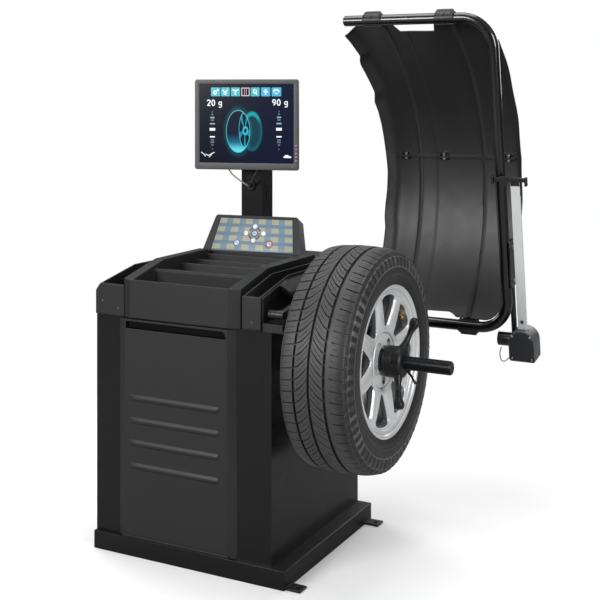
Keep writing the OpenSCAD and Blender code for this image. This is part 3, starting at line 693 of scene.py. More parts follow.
# ------------------------------------------------------------------ alloy rim
def rim_piece():
    # barrel, turned
    prof = [(220.5, 552.6), (220.9, 554.2), (220.2, 555.6), (218.6, 556.0), (216.6, 555.6), (212, 554.4), (208.5, 552.2), (205.4, 549.4), (202.2, 547.6), (198.6, 547.2),
            (195.6, 546.0), (193.2, 543.0), (191.4, 538.0), (190.2, 532), (190, 520), (190, 492), (186, 480), (175, 462), (175, 408), (188, 394), (197, 386),
            (197, 370), (202, 362), (214, 360), (219.4, 360.1), (220.5, 361.5), (220.5, 364), (209, 366), (203, 370), (203, 392), (192, 402), (180, 414),
            (180, 450), (192, 466), (203, 490), (203, 545.4), (205.4, 546.6), (209, 549.2), (214, 551.6)]
    prof = [(r - 3 * smoothstep(204, 216, r) * (1 if x > 500 else 0), x + (6 if x > 537 else 0)) for r, x in prof]
    bv, bf = lathe(prof, 192)
    g = Geo()
    g.add(bv, bf, AXIS)
    barrel = g.out("rim_barrel", M["rim"], "spindle", smooth=32, rep="rim", slot="rim_silver", fix=True)

    # wheel disc with eight windows: a height field over polar rays, dished front and hollow back
    nsec, per = 8, 24
    rads = [32, 36, 44, 50, 58, 66, 74, 77.5, 79, 81, 84, 90, 96, 102, 108, 114, 121, 128, 136, 144, 152, 160, 168, 175, 181, 186, 189.5, 191.4]

    def win(r):  # half angle of the window at this radius, degrees
        pts = [(97, 0.0), (98.2, 3.4), (100, 4.9), (103, 6.2), (110, 8.0), (120, 9.7), (137, 12.0), (152, 13.4), (165, 14.6), (174, 15.1), (181, 14.6), (185.5, 12.4), (187.6, 9.0), (188.4, 0.0)]
        if r <= pts[0][0] or r >= pts[-1][0]:
            return 0.0
        for (a, x), (b, y) in zip(pts, pts[1:]):
            if a <= r <= b:
                return x + (y - x) * (r - a) / (b - a)

    def front(r, off):  # x of the front face; off = degrees from the middle of the spoke
        base = np.interp(r, [32, 60, 76, 79, 82, 90, 110, 140, 165, 185, 192], [536, 536.5, 538, 533.0, 538.8, 541.4, 543.6, 545.4, 545.8, 545.2, 544.6])
        if r < 88:
            return base
        half = 22.5 - max(win(r), 6.5)
        u = min(1, abs(off) / max(half, 1e-3))
        k = smoothstep(86, 104, r) * smoothstep(191, 176, r)
        return base - k * (9.5 * u ** 2.6) + k * 2.4

    # outline of one window in (angle, radius)
    loop = []
    rr = [97, 97.6, 98.5, 99.6, 101, 103, 106, 110, 114, 121, 128, 136, 144, 152, 160, 166, 172, 177, 180, 183, 185, 186.6, 187.6, 188.2, 188.4]
    for r in rr:
        loop.append((r, win(r) if 97 < r < 188.4 else 0))
    m = len(loop)
    v, f = [], []

    def P(x, r, ang):
        a = math.radians(ang)
        return (x, r * cos(a), r * sin(a))  # y, z in the polar angle from +Y to +Z

    # half spokes: from window centre line to spoke centre line, mirrored; nodes along t = 0 (window edge) .. 1 (spoke centre)
    cross = [0.0, 0.06, 0.16, 0.3, 0.48, 0.7, 0.86, 1.0]
    inner_r = [32, 38, 46, 56, 66, 74, 77.5, 79.0, 81.0, 84, 88, 92, 95]
    outer_r = [189.2, 190.4, 191.6]
    line = inner_r + rr + outer_r
    nl = len(line)
    nc = len(cross)
    strips = []
    for s in range(nsec):
        centre = 37 + 45 * s            # window centre
        for side in (1, -1):
            strips.append((centre, side))
    # columns round the disc: for each window centre going up in angle: side +1 crosses 0..1 then next window side -1 crosses 1..0
    cols = []
    for s in range(nsec):
        c = 37 + 45 * s
        for t in cross:
            cols.append((c, 1, t))
        for t in reversed(cross[:-1]):
            cols.append((c + 45, -1, t))
    ncol = len(cols)
    idx = {}

    def ang_at(c, side, t, r):
        w = win(r) if 97 < r < 188.4 else 0.0
        return c + side * (w + (22.5 - w) * t)

    def back(r):
        return float(np.interp(r, [32, 80, 96, 120, 160, 180, 188, 192], [503, 503, 512, 519, 522, 519, 515, 514]))

    for k, (c, side, t) in enumerate(cols):
        for i, r in enumerate(line):
            a = ang_at(c, side, t, r)
            off = 22.5 - abs(a - c)
            inside = 97 <= r <= 188.4
            rim_soft = 0.0
            if inside and t < 0.07:
                rim_soft = 1.6 if t == 0 else 0.35
            xf_ = front(r, off) - rim_soft
            xb_ = back(r) + (5.0 if inside and t < 0.07 else 0)
            if inside and t >= 0.3:
                xb_ = back(r) + 6 * smoothstep(0.25, 1.0, t) * smoothstep(96, 120, r) * smoothstep(188, 170, r)
            idx[(k, i, 0)] = len(v)
            v.append(P(xf_, r, a))
            idx[(k, i, 1)] = len(v)
            v.append(P(min(xb_, xf_ - 3), r, a))
    ia, ib = len(inner_r), len(inner_r) + len(rr) - 1
    for k in range(ncol):
        k2 = (k + 1) % ncol
        gap = cols[k][1] == -1 and cols[k][2] == 0.0 and cols[k2][2] == 0.0
        for i in range(nl - 1):
            if gap and ia <= i < ib:
                continue
            if gap and (i < ia or i >= ib):
                pass
            f.append((idx[(k, i, 0)], idx[(k, i + 1, 0)], idx[(k2, i + 1, 0)], idx[(k2, i, 0)]))
            f.append((idx[(k, i, 1)], idx[(k2, i, 1)], idx[(k2, i + 1, 1)], idx[(k, i + 1, 1)]))
        # bore and rim edge
        f.append((idx[(k, 0, 0)], idx[(k2, 0, 0)], idx[(k2, 0, 1)], idx[(k, 0, 1)]))
        f.append((idx[(k, nl - 1, 0)], idx[(k, nl - 1, 1)], idx[(k2, nl - 1, 1)], idx[(k2, nl - 1, 0)]))
        if cols[k][2] == 0.0:
            for i in range(ia, ib):
                q = (idx[(k, i, 0)], idx[(k, i + 1, 0)], idx[(k, i + 1, 1)], idx[(k, i, 1)])
                f.append(q if cols[k][1] == 1 else q[::-1])
    me_name = "rim_disc"
    o = make(me_name, v, f, M["rim"], None, xf=AXIS, smooth=34)
    bm = bmesh.new()
    bm.from_mesh(o.data)
    bmesh.ops.remove_doubles(bm, verts=bm.verts, dist=0.00002)
    bmesh.ops.recalc_face_normals(bm, faces=bm.faces)
    bm.to_mesh(o.data)
    bm.free()
    # lug holes with stepped seats
    tools = []
    for i in range(5):
        a = math.radians(54 + 72 * i)
        y, z = -77 + 56 * cos(a), 621 + 56 * sin(a)
        for r, x0, x1 in ((7, 495, 560), (12.5, 527, 560)):
            vv, ff = lathe([(0, x0), (r, x0), (r, x1), (0, x1)], 28)
            tools.append(([(p[0], p[1] + y, p[2] + z) for p in vv], ff))
    vv, ff = lathe([(0, 528), (41, 528), (41, 533), (43, 537.5), (43, 560), (0, 560)], 64)
    tools.append(([(p[0], p[1] - 77, p[2] + 621) for p in vv], ff))
    cut(o, tools)
    shade(o.data, 34)
    b = o.modifiers.new("bevel", "BEVEL")
    b.width, b.segments, b.limit_method, b.angle_limit = 0.0011, 3, "ANGLE", math.radians(38)
    w = o.modifiers.new("normals", "WEIGHTED_NORMAL")
    w.keep_sharp = True
    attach(o, "spindle")
    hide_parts("rim")


def rim_material():
    t = Tree("lacquer_rim_silver")
    big, fine = t.noise(4.5, 4, 0.6), t.noise(2600, 2, 0.5)
    c = t.mix(big, lin("#dcdedf"), lin("#eeeff0"))
    c = t.mix(t.math("MULTIPLY", fine, 0.18), c, (0.95, 0.95, 0.96))
    q, (x, y, z) = t.local(AXIS)
    rad = t.math("SQRT", t.math("ADD", t.math("MULTIPLY", y, y), t.math("MULTIPLY", z, z)))
    # painted shade, partly dust: the rim is painted darker and rougher where it lies deeper than the front face, x
    # below 534 mm, patchy by noise
    dust_and_shade = t.math("MULTIPLY", t.ramp(x, 534, 516), t.ramp(t.noise(11, 5, 0.7), 0.0, 0.5))
    c = t.mix(t.math("MULTIPLY", dust_and_shade, 0.75), c, lin("#5b5c5e"))
    # painted shade: window side walls, whose normals turn away from the axis, are painted darker grey
    nx = t.xyz(t.n("ShaderNodeNewGeometry").outputs["Normal"])[0]
    painted_wall_shade = t.math("MULTIPLY", t.math("MULTIPLY", t.ramp(nx, 0.55, 0.15), t.ramp(rad, 188.6, 187.6)), t.ramp(rad, 60, 66))
    c = t.mix(t.math("MULTIPLY", painted_wall_shade, 0.8), c, lin("#6a6c6e"))
    # painted shade: the groove round the hub near radius 79 mm is painted darker
    hub_groove_shade = t.math("MULTIPLY", t.ramp(rad, 77.6, 78.6), t.ramp(rad, 81.4, 80.4))
    c = t.mix(t.math("MULTIPLY", hub_groove_shade, 0.6), c, lin("#55575a"))
    r = t.math("ADD", t.math("MULTIPLY", t.noise(30, 4, 0.6), 0.14), 0.26)
    r = t.math("ADD", r, t.math("MULTIPLY", dust_and_shade, 0.2))
    return t.set(color=c, metal=0.45, rough=r, normal=t.bump(fine, 0.05, 0.0002, t.edge(0.0012)), coat=0.55, coat_rough=0.08)


M["rim"] = rim_material()
rim_piece()


# ------------------------------------------------------------------ wheel hood
def hood_material():
    """Vacuum-formed black sheet: soft sheen, pressed creases and edges painted a little paler as a highlight, faint
    scuffs.
    """
    t = Tree("plastic_hood_sheet")
    q, (x, y, z) = t.local(HOOD)
    big, mid = t.noise(3.2, 5, 0.6), t.noise(22, 4, 0.6)
    c = t.mix(big, lin("#161617"), lin("#222223"))
    scr = t.ramp(t.noise(60, 6, 0.75, stretch=(1, 6, 6)), 0.62, 0.72)
    c = t.mix(t.math("MULTIPLY", scr, 0.12), c, lin("#6d6e70"))
    # painted highlight: pressed creases and sharp edges are painted paler grey
    c = t.mix(t.math("MULTIPLY", t.edge_highlight(0.003), 0.35), c, lin("#5c5e61"))
    r = t.math("ADD", t.math("MULTIPLY", mid, 0.16), 0.40)
    h = t.math("ADD", t.math("MULTIPLY", t.noise(16, 3, 0.5), 1.0), t.math("MULTIPLY", t.voronoi(1300), 0.06))
    return t.set(color=c, rough=r, normal=t.bump(h, 0.35, 0.0016, t.edge(0.002)), spec=0.42, coat=0.08, coat_rough=0.3)


M["hood"] = hood_material()

EDGE_PHI = [-56, -51.3, -45, -38, -30, -24, -20.5, -16, -11.7, -5, 3.2, 11, 16, 19.7, 23.4, 28.9, 34.8, 37, 39.2, 43, 46.6, 49, 51.3, 56]
EDGE_X = [262, 258, 254, 252, 251.5, 251, 245, 246, 250.5, 254, 250, 247, 243, 237, 246, 237, 228, 231, 240, 234, 230, 226, 228, 240]
CREASES = [(372, 5.0, 3.2), (432, 1.1, 2.2), (604, 7.0, 3.0)]      # (x, depth, half width)


def hood_point(x, phi, inset):
    a = math.radians(phi)
    R = 630 - inset
    return (x, -369 + R * cos(a), 508 + R * sin(a))


def shell(name, s, rep):
    """Half shell as one closed sheet, with scalloped outer edge, pressed lines and the cut-outs between the clips."""
    nphi = 64
    lim = 51.6
    phis = sorted(set([round(0.004 + (lim - 0.004) * i / nphi, 4) for i in range(nphi + 1)] + [46.9, 47.3, 50.9]))
    xs = set()
    for i in range(60):
        xs.add(i / 59)
    x1 = 735.0
    # parametric columns, denser at creases and at the rolled edges
    base = [0, 2, 5, 9, 14, 20, 28, 38, 50]
    fixed = sorted(set([300, 312, 324, 336, 348, 360, 366, 368.5, 370, 371, 372, 373, 374, 375.5, 378, 384, 396, 408, 418, 426, 429, 431, 432, 433, 435, 438, 446,
                        458, 470, 484, 498, 512, 526, 540, 554, 568, 580, 590, 597, 600, 602, 603, 604, 605, 606, 608, 611, 618, 630, 644, 658, 672, 686, 698, 708,
                        716, 722, 727, 731, 734, x1]))

    def cutout(x, phi):
        """How far (degrees) the end edge is pulled in at this x."""
        if s > 0:
            a = smoothstep(398, 408, x) * smoothstep(541, 529, x) * 4.2      # opening between the upper clips
            b = smoothstep(640, 730, x) ** 1.6 * 8.5                          # corner follows the tube bend
            c = smoothstep(280, 232, x) * 1.6
            return a + b + c
        a = smoothstep(388, 398, x) * smoothstep(546, 536, x) * 1.7
        b = smoothstep(650, 733, x) ** 1.6 * 9.0
        c = smoothstep(282, 250, x) * 2.0
        return a + b + c

    rows, ts = [], []
    for i in range(nphi + 1):
        ts.append(i / nphi)
    ts = sorted(set(ts + [0.985, 0.992, 0.01]))
    verts_out, verts_in = [], []
    ncol = len(base) + len(fixed)
    for t in ts:
        for k in range(ncol):
            # outer edge column position depends on the angle
            def pos(phi):
                e = float(np.interp(phi * s, EDGE_PHI, EDGE_X))
                if k < len(base):
                    return e + base[k] * (299 - e) / 51.0
                x = fixed[k - len(base)]
                if x > 700:
                    x -= 3.0 * abs(phi) / 51 + 1.5 * sin(phi * 0.35)
                return x
            phi = 0.004 + (lim - 0.004) * t
            x = pos(phi)
            end = lim - cutout(x, phi)
            phi = 0.004 + (end - 0.004) * t
            x = pos(phi)
            e = float(np.interp(phi * s, EDGE_PHI, EDGE_X))
            inset = 0.0
            d = x - e
            inset += 30 * (1 - smoothstep(-6, 48, d)) ** 1.5                 # rolled outer edge
            inset += 9 * smoothstep(712, 735, x) ** 1.5                       # inner flange edge
            for cx, dep, hw in CREASES:
                cx2 = cx - 4.0 * abs(phi) / 51
                inset += dep * math.exp(-((x - cx2) / hw) ** 2)
            inset += 1.6 * sin((x - 300) / 435 * pi * 5) * smoothstep(300, 330, x) * smoothstep(700, 660, x) * 0.6   # shallow flutes
            if s < 0:
                inset += 1.4 * sin((x - 260) / 40) * smoothstep(10, 40, phi)
            inset += 2.5 * smoothstep(lim - 3.5, lim, phi) if cutout(x, phi) < 2 else 0
            verts_out.append(hood_point(x, phi * s, inset))
            verts_in.append(hood_point(x, phi * s, inset + 3.4))
    m = len(ts)
    n = len(verts_out)
    f = []
    for i in range(m - 1):
        for j in range(ncol - 1):
            a, b, c, d = i * ncol + j, i * ncol + j + 1, (i + 1) * ncol + j + 1, (i + 1) * ncol + j
            f.append((a, b, c, d))
            f.append((n + a, n + d, n + c, n + b))
    rim = [j for j in range(ncol)] + [i * ncol + ncol - 1 for i in range(1, m)] + [(m - 1) * ncol + j for j in range(ncol - 2, -1, -1)] + [i * ncol for i in range(m - 2, 0, -1)]
    for i in range(len(rim)):
        a, b = rim[i], rim[(i + 1) % len(rim)]
        f.append((a, n + a, n + b, b))
    g = Geo()
    g.add(verts_out + verts_in, f)
    # seam flange with bolt lugs
    z0, z1 = (508.7, 511.3) if s > 0 else (504.7, 507.3)
    lug = [(304, 258.6), (304, 247)]
    for bx_ in (320, 460, 690):
        lug += [(bx_ - 16, 247), (bx_ - 11, 241), (bx_ + 11, 241), (bx_ + 16, 247)]
    lug += [(713, 247), (713, 258.6)]
    lug = [p for i, p in enumerate(lug) if not (i > 0 and p[0] <= lug[i - 1][0] and p[1] == lug[i - 1][1] == 247)]
    g.add(*prism(lug, z0, z1))
    # small gussets beside each bolt
    for bx_ in (320, 460, 690):
        for dx in (-13, 13):
            zz = [z1, z1 + 13] if s > 0 else [z0 - 13, z0]
            tip = [(258.2, zz[0]), (258.2, zz[1]), (243, zz[0])] if s > 0 else [(258.2, zz[1]), (258.2, zz[0]), (243, zz[1])]
            g.add(*prism(tip, bx_ + dx - 1.2, bx_ + dx + 1.2, "X"))
    return g.out(name, M["hood"], "hood", xf=HOOD, smooth=42, rep=rep, slot="hood_plastic", fix=True)


shell("hood_sheet_upper", 1, "hood_shell_upper")
shell("hood_sheet_lower", -1, "hood_shell_lower")


def clips():
    """Moulded saddles that grip the tube and hold the sheet's end."""
    for k, (x, s) in enumerate([(308, 1), (556, 1), (308, -1), (572, -1)]):
        zc = 1016 if s > 0 else 0
        outer, n = [], 40
        # saddle outline in (y, z): ring with a flat top lug and a tongue along the sheet
        ring = []
        for i in range(n + 1):
            a = math.radians(-118 + 296 * i / n) if s > 0 else math.radians(118 - 296 * i / n)
            ring.append((21.5 * cos(a), zc + 21.5 * sin(a)))
        inner = []
        for i in range(n + 1):
            a = math.radians(-118 + 296 * i / n) if s > 0 else math.radians(118 - 296 * i / n)
            inner.append((17.6 * cos(a), zc + 17.6 * sin(a)))
        loop = ring + inner[::-1]
        g = Geo()
        g.add(*prism(rounded_poly(loop, 0.0), x, x + 64, "X"))
        # raised ribs across the saddle
        for dx in (4, 32, 60):
            r2 = [(p[0] * 1.0 + (23.4 - 21.5) * p[0] / 21.5, zc + (p[1] - zc) * 23.4 / 21.5) for p in ring[3:-3]]
            i2 = [(p[0] * 20.5 / 21.5, zc + (p[1] - zc) * 20.5 / 21.5) for p in ring[3:-3]]
            g.add(*prism(r2 + i2[::-1], x + dx - 2.2, x + dx + 2.2, "X"))
        # lug on the outer side, pinched round the sheet end
        sy = 1 if s > 0 else -1
        lug = [(-13, zc + 20 * sy), (-10, zc + 27 * sy), (6, zc + 29 * sy), (15, zc + 22 * sy), (15, zc + 12 * sy), (-13, zc + 14 * sy)]
        g.add(*prism(lug if s > 0 else lug[::-1], x + 6, x + 58, "X"))
        tongue = []
        for i in range(9):
            ph = math.radians((46.2 + 7.0 * i / 8) * s)
            tongue.append((-369 + 634.6 * cos(ph), 508 + 634.6 * sin(ph)))
        for i in range(8, -1, -1):
            ph = math.radians((46.2 + 7.0 * i / 8) * s)
            tongue.append((-369 + 630.4 * cos(ph), 508 + 630.4 * sin(ph)))
        g.add(*prism(tongue if s > 0 else tongue[::-1], x + 4, x + 60, "X"))
        o = g.out("hood_clip_%d" % (k + 1), M["clip"], "hood", xf=HOOD, smooth=40, rep="hood_clips", slot="moulded_black", fix=True)
        bevel(o, 0.9, 2, 40)


clips()


def tube():
    """Hood tube: one bent pipe with end caps."""
    r = 17.5
    pts = [(80, 0, 0)]
    for i in range(9):
        pts.append((80 + 561 * (i + 1) / 9, 0, 0))
    for i in range(1, 17):
        a = math.radians(-90 + 90 * i / 16)
        pts.append((641 + 98 * cos(a), 0, 98 + 98 * sin(a)))
    for i in range(1, 16):
        pts.append((739, 0, 98 + 820 * i / 16))
    for i in range(17):
        a = math.radians(90 * i / 16)
        pts.append((641 + 98 * cos(a), 0, 918 + 98 * sin(a)))
    for i in range(1, 8):
        pts.append((641 - 401 * i / 7, 0, 1016))
    g = Geo()
    g.add(*pipe(pts, r, 32))
    o = g.out("hood_tube", M["tube"], "hood", xf=HOOD, smooth=50, rep="hood_frame", slot="tube_black", fix=True)
    c = Geo()
    for x, z, d in ((240, 1016, -1), (80, 0, -1)):
        p = [(0, x - 4.5), (9, x - 4.2), (14, x - 3.0), (16.8, x - 0.6), (16.9, x + 0.4), (0.0, x + 0.4)]
        v, f = lathe(p, 32)
        c.add([(a, b, q + z) for a, b, q in v], f)
    c.out("hood_tube_caps", M["clip"], "hood", xf=HOOD, smooth=50, slot="moulded_black", fix=True)


tube()


# ------------------------------------------------------------------ width gauge on the hood
def width_gauge():
    # D-shaped box: dark face plate and a paler rounded band round it
    def dshape(x0, x1, z0, cz, R, n=24, inset=0.0, corner=8):
        pts = [(x0 + inset, z0 + inset), (x1 - inset, z0 + inset)]
        pts = []
        for i in range(6):
            a = math.radians(180 + 90 * i / 5)
            pts.append((x0 + corner + (corner - inset) * cos(a), z0 + corner + (corner - inset) * sin(a)))
        for i in range(6):
            a = math.radians(270 + 90 * i / 5)
            pts.append((x1 - corner + (corner - inset) * cos(a), z0 + corner + (corner - inset) * sin(a)))
        for i in range(n + 1):
            a = math.radians(180 * i / n)
            pts.append(((x0 + x1) / 2 + (R - inset) * cos(a), cz + (R - inset) * sin(a)))
        return pts
    rings = []
    for y, ins in ((-50.5, 3.2), (-52, 4.4)):
        pass
    body = Geo()
    layers = [(-48.0, 5.0), (-50.6, 3.2), (-50.4, 1.4), (-49.0, 0.35), (-46.5, 0.0), (14.0, 0.0), (17.5, 0.8), (19.4, 2.6), (20.0, 5.0)]
    loops = [dshape(751, 836, -84, -24, 42.5, inset=i) for y, i in layers]
    m = len(loops[0])
    v = [(p[0], y, p[1]) for (y, i), lp in zip(layers, loops) for p in lp]
    f = grid_faces(len(layers), m, wrap_v=True)
    f.append(tuple(range(m)))
    f.append(tuple((len(layers) - 1) * m + k for k in range(m - 1, -1, -1)))
    body.add(v, f)
    o = body.out("width_gauge_case", M["gaugecap"], "hood", xf=HOOD, smooth=34, rep="width_gauge_box", slot="bezel_grey", fix=True)
    slot = block(756, 813, -30.8, -22.2, -41, 40)
    tool = ([tuple(HOOD @ Vector(p)) for p in slot[0]], slot[1])
    cut(o, [tool])
    shade(o.data, 34)
    plate = Geo()
    lp0, lp1 = dshape(751, 836, -84, -24, 42.5, inset=5.6), dshape(751, 836, -84, -24, 42.5, inset=6.6)
    v = [(p[0], -47.6, p[1]) for p in lp0] + [(p[0], -51.4, p[1]) for p in lp0] + [(p[0], -52.2, p[1]) for p in lp1]
    f = grid_faces(3, m, wrap_v=True)
    f.append(tuple(range(m)))
    f.append(tuple(2 * m + k for k in range(m - 1, -1, -1)))
    plate.add(v, f)
    plate.out("width_gauge_plate", M["gaugebox"], "hood", xf=HOOD, smooth=34, slot="moulded_black", fix=True)
    sc = Geo()
    for x, z in ((762, -73), (825, -73), (822, 0), (765, 0)):
        v, f = lathe([(0, -51.6), (3.9, -51.6), (4.1, -52.6), (3.4, -53.9), (1.6, -54.4), (1.4, -53.0), (0, -53.0)], 20, "Y")
        sc.add([(a + x, b, c + z) for a, b, c in v], f)
    sc.out("width_gauge_screws", M["zinc"], "hood", xf=HOOD, smooth=35, slot="zinc", fix=True)

    # pull bar: folded strip with rounded root and the hook bracket at its end
    bar = Geo()
    loop = [(808, -24)]
    for i in range(1, 24):
        a = math.radians(-180 * i / 24)
        loop.append((793.5 + 14.5 * cos(a), -24 + 14.5 * sin(a)))
    loop += [(779, -24), (779, 508), (782, 512), (805, 512), (808, 508)]
    bar.add(*prism(loop[::-1], -28.3, -24.7, "Y"))
    for x0, x1 in ((779, 781.2), (805.8, 808)):     # folded edges
        bar.add(*block(x0, x1, -24.9, -20.5, 30, 452))
    o = bar.out("width_gauge_strip", M["bar"], "width_bar", xf=HOOD, smooth=30, rep="width_gauge_bar", slot="plain_aluminium", fix=True)
    bevel(o, 0.5, 2, 35)
    hk = Geo()
    hk.add(*block(724, 829, -33.6, -28.9, 500, 514))
    hk.add(*prism(rounded_poly([(455, -33.6), (505, -33.6), (505, -20.8), (455, -20.8)], 2), 806.6, 815.5, "X")) if False else None
    v, f = prism(rounded_poly([(-38, 488), (-20.8, 488), (-20.8, 516), (-38, 516)], 3), 826, 832.4, "X")
    hk.add(v, f)
    v, f = prism(rounded_poly([(-42, 494), (-28.9, 494), (-28.9, 520), (-42, 520)], 3), 722, 727.5, "X")
    hk.add(v, f)
    hk.add(*prism([(-33.4, 474), (-33.4, 486), (-60 + 20, 480)][::1], 740, 744, "X")) if False else None
    hk.add(*block(748, 772, -38.6, -33.4, 484, 519))
    hk.add(*block(779.5, 807.5, -28.9, -20.8, 486, 511))
    vv, ff = lathe([(0, -33.5), (5.2, -33.5), (5.2, -37.2), (4.4, -38.2), (0, -38.4)], 6, "Y")
    hk.add([(a + 793.5, b, c + 507) for a, b, c in vv], ff)
    o = hk.out("width_gauge_hook", M["clip"], "width_bar", xf=HOOD, smooth=30, slot="moulded_black", fix=True)
    bevel(o, 0.7, 2, 35)
    bt = Geo()
    v, f = lathe([(0, -28.0), (5.4, -28.0), (5.6, -29.0), (4.8, -31.6), (2.0, -32.4), (0, -32.4)], 24, "Y")
    bt.add([(a + 793.5, b, c + 42) for a, b, c in v], f)
    bt.out("width_gauge_pin", M["screw"], "width_bar", xf=HOOD, smooth=35, slot="zinc", fix=True)

    # loose lead from the sleeve into the box
    pts = [(716, -14, -55), (712, -20, -72), (716, -26, -92), (727, -28, -97), (740, -24, -88), (750, -20, -74)]
    fine = []
    P = [Vector(p) for p in pts]
    for i in range(len(P) - 1):
        p0, p1, p2, p3 = P[max(i - 1, 0)], P[i], P[i + 1], P[min(i + 2, len(P) - 1)]
        for k in range(8):
            t = k / 8
            fine.append(0.5 * ((2 * p1) + (p2 - p0) * t + (2 * p0 - 5 * p1 + 4 * p2 - p3) * t * t + (3 * p1 - p0 - 3 * p2 + p3) * t ** 3))
    fine.append(P[-1])
    w = Geo()
    w.add(*pipe([tuple(p) for p in fine], 1.5, 10))
    w.out("width_gauge_lead", M["cable"], "hood", xf=HOOD, smooth=50, slot="cable", fix=True)


width_gauge()


# ------------------------------------------------------------------ front cover
def cover_material():
    """Satin paint of the front panel; the sunk band is painted near black with lowered specular, as painted shade."""
    m = M["cover"]
    t = Tree.__new__(Tree)
    t.m, t.t = m, m.node_tree
    t.p = [n for n in m.node_tree.nodes if n.type == "BSDF_PRINCIPLED"][0]
    t.co = [n for n in m.node_tree.nodes if n.type == "TEX_COORD"][0].outputs["Object"]
    q, (x, y, z) = t.local(Matrix.Identity(4))
    # painted shade: the sunk band under the trays is painted almost black and its specular lowered
    inside = t.math("MULTIPLY", t.ramp(y, -298.4, -296.0), t.math("MULTIPLY", t.math("MULTIPLY", t.ramp(z, 681.0, 683.0), t.ramp(z, 706.0, 704.6)), t.math("MULTIPLY", t.ramp(x, -214.6, -213.6), t.ramp(x, 141.8, 140.8))))
    src = t.p.inputs["Base Color"].links[0].from_socket
    t.l(t.mix(t.math("MULTIPLY", inside, 0.85), src, (0.0016, 0.0016, 0.0017)), t.p.inputs["Base Color"])
    t.l(t.math("SUBTRACT", 0.35, t.math("MULTIPLY", inside, 0.3)), t.p.inputs["Specular IOR Level"])


cover_material()


def front_cover():
    """Pressed panel: chamfered sides, four louvre-like ribs and a sunk band under the trays."""
    ribs = [482, 414, 346.5, 278]
    zs = set([55, 57, 60, 62, 66, 90, 130, 170, 210, 240, 680, 682.6, 683.4, 684.2, 686, 692, 700, 703.4, 704.2, 705.0, 706, 708, 709.6, 710.6, 711])
    for r in ribs:
        for d in (7, 5, 4, 3, 1, -1, -3, -4.2, -5, -7, -9, -10.2, -11, -13, -15, -16, -17.2, -20, -30):
            zs.add(r + d)
    for z in range(500, 680, 20):
        zs.add(z)
    for z in range(70, 250, 20):
        zs.add(z)
    zs = sorted(zs)
    # path across: (x, y, front flag)
    path = [(-243.2, -284), (-242.6, -286.4), (-241, -287.8)]
    for t in (0.15, 0.5, 0.85):
        path.append((-242 + 26 * t, -287 - 12 * t))
    path += [(-218, -298.0), (-217, -298.6), (-215.8, -298.95)]
    xs = [-214, -213.2, -212.4, -210, -206, -204.5, -203.5, -202.5, -200, -196, -190, -170, -140, -100, -60, -20, 20, 60, 96, 104, 110, 113, 114.5, 115.5, 116.5, 118, 121, 124, 126, 127.2, 128.5, 132, 136, 139, 140.4, 141.6]
    path += [(x, -299.0) for x in xs]
    path += [(143.2, -298.8), (144.4, -298.3), (145.6, -297.7)]
    for t in (0.2, 0.55, 0.85):
        path.append((143 + 27 * t, -299 + 12 * t))
    path += [(169.2, -287.4), (170.6, -286.0), (171.0, -284)]

    def off(x, z):
        h = 0.0
        for r in ribs:
            d = z - r
            if d > 4 or d < -16:
                p = 0
            elif d > -4:
                p = 4 * (4 - d) / 8
            elif d > -10:
                p = 4
            else:
                p = 4 * (16 + d) / 6
            left = -203 + 2.2 * max(0, (d + 16)) * 0.2
            e = smoothstep(left - 2, left + 7, x) * smoothstep(118, 108, x)
            h = max(h, p * e)
        if 683 < z < 704.6 and -213 < x:
            right = 140 - (z - 683) * 14 / 22
            e = smoothstep(-213.8, -212.6, x) * smoothstep(right + 0.8, right - 0.8, x)
            ez = smoothstep(682.8, 684.2, z) * smoothstep(705.2, 704.0, z)
            h -= 10.0 * e * ez
        return h

    m, n = len(path), len(zs)
    v = []
    for x, y in path:
        for z in zs:
            v.append((x, y - (off(x, z) if y < -298.99 else 0), z))
    inner = []
    for i, (x, y) in enumerate(path):
        for z in zs:
            inner.append((x * 0.985 if abs(x) > 200 else x, y + (3.0 if off(x, z) > -0.5 or y > -298.99 else 1.0) + (0.6 if y > -290 else 0) - (min(0, off(x, z)) if y < -298.99 else 0), z))
    f = grid_faces(m, n)
    k = len(v)
    f += [tuple(k + i for i in reversed(q)) for q in grid_faces(m, n)]
    loop = [j for j in range(n)] + [i * n + n - 1 for i in range(1, m)] + [(m - 1) * n + j for j in range(n - 2, -1, -1)] + [i * n for i in range(m - 2, 0, -1)]
    for i in range(len(loop)):
        a, b = loop[i], loop[(i + 1) % len(loop)]
        f.append((a, b, k + b, k + a))
    g = Geo()
    g.add(v + inner, f)
    # folded top and foot
    top = [(-239, -286.6), (-215, -297.6), (142, -297.6), (168, -286.6)]
    g.add(*prism(top, 705.4, 710.2))
    g.add(*prism([(-239, -286.6), (-215, -297.6), (142, -297.6), (168, -286.6)], 55.4, 59.4))
    g.out("front_cover_panel", M["cover"], "cabinet", smooth=24, rep="front_cover", slot="cover_black", fix=True)
    t = Geo()
    v, f = prism(rounded_poly([(-302.2, 56), (-299.2, 56), (-299.2, 63), (-300.6, 64.2), (-302.2, 62.5)], 0.5, 3), -222, 150, "X")
    t.add(v, f)
    t.out("front_cover_foot_trim", M["clip"], "cabinet", smooth=30, slot="cover_black", fix=True)


front_cover()


# ------------------------------------------------------------------ small fasteners on the cabinet
def screw_head(g, x, y, z, r=4.2, h=2.4, axis=(0, -1, 0), xf=None):
    prof = [(0, -1.0), (r, -1.0), (r * 1.02, h * 0.25), (r * 0.86, h * 0.72), (r * 0.52, h * 0.98), (r * 0.42, h), (r * 0.4, h * 0.45), (0, h * 0.45)]
    v, f = lathe(prof, 24, "Z")
    q = Vector((0, 0, 1)).rotation_difference(Vector(axis)).to_matrix().to_4x4()
    m = T((x, y, z)) @ q
    if xf is not None:
        m = xf @ m
    g.add(v, f, xf=m)


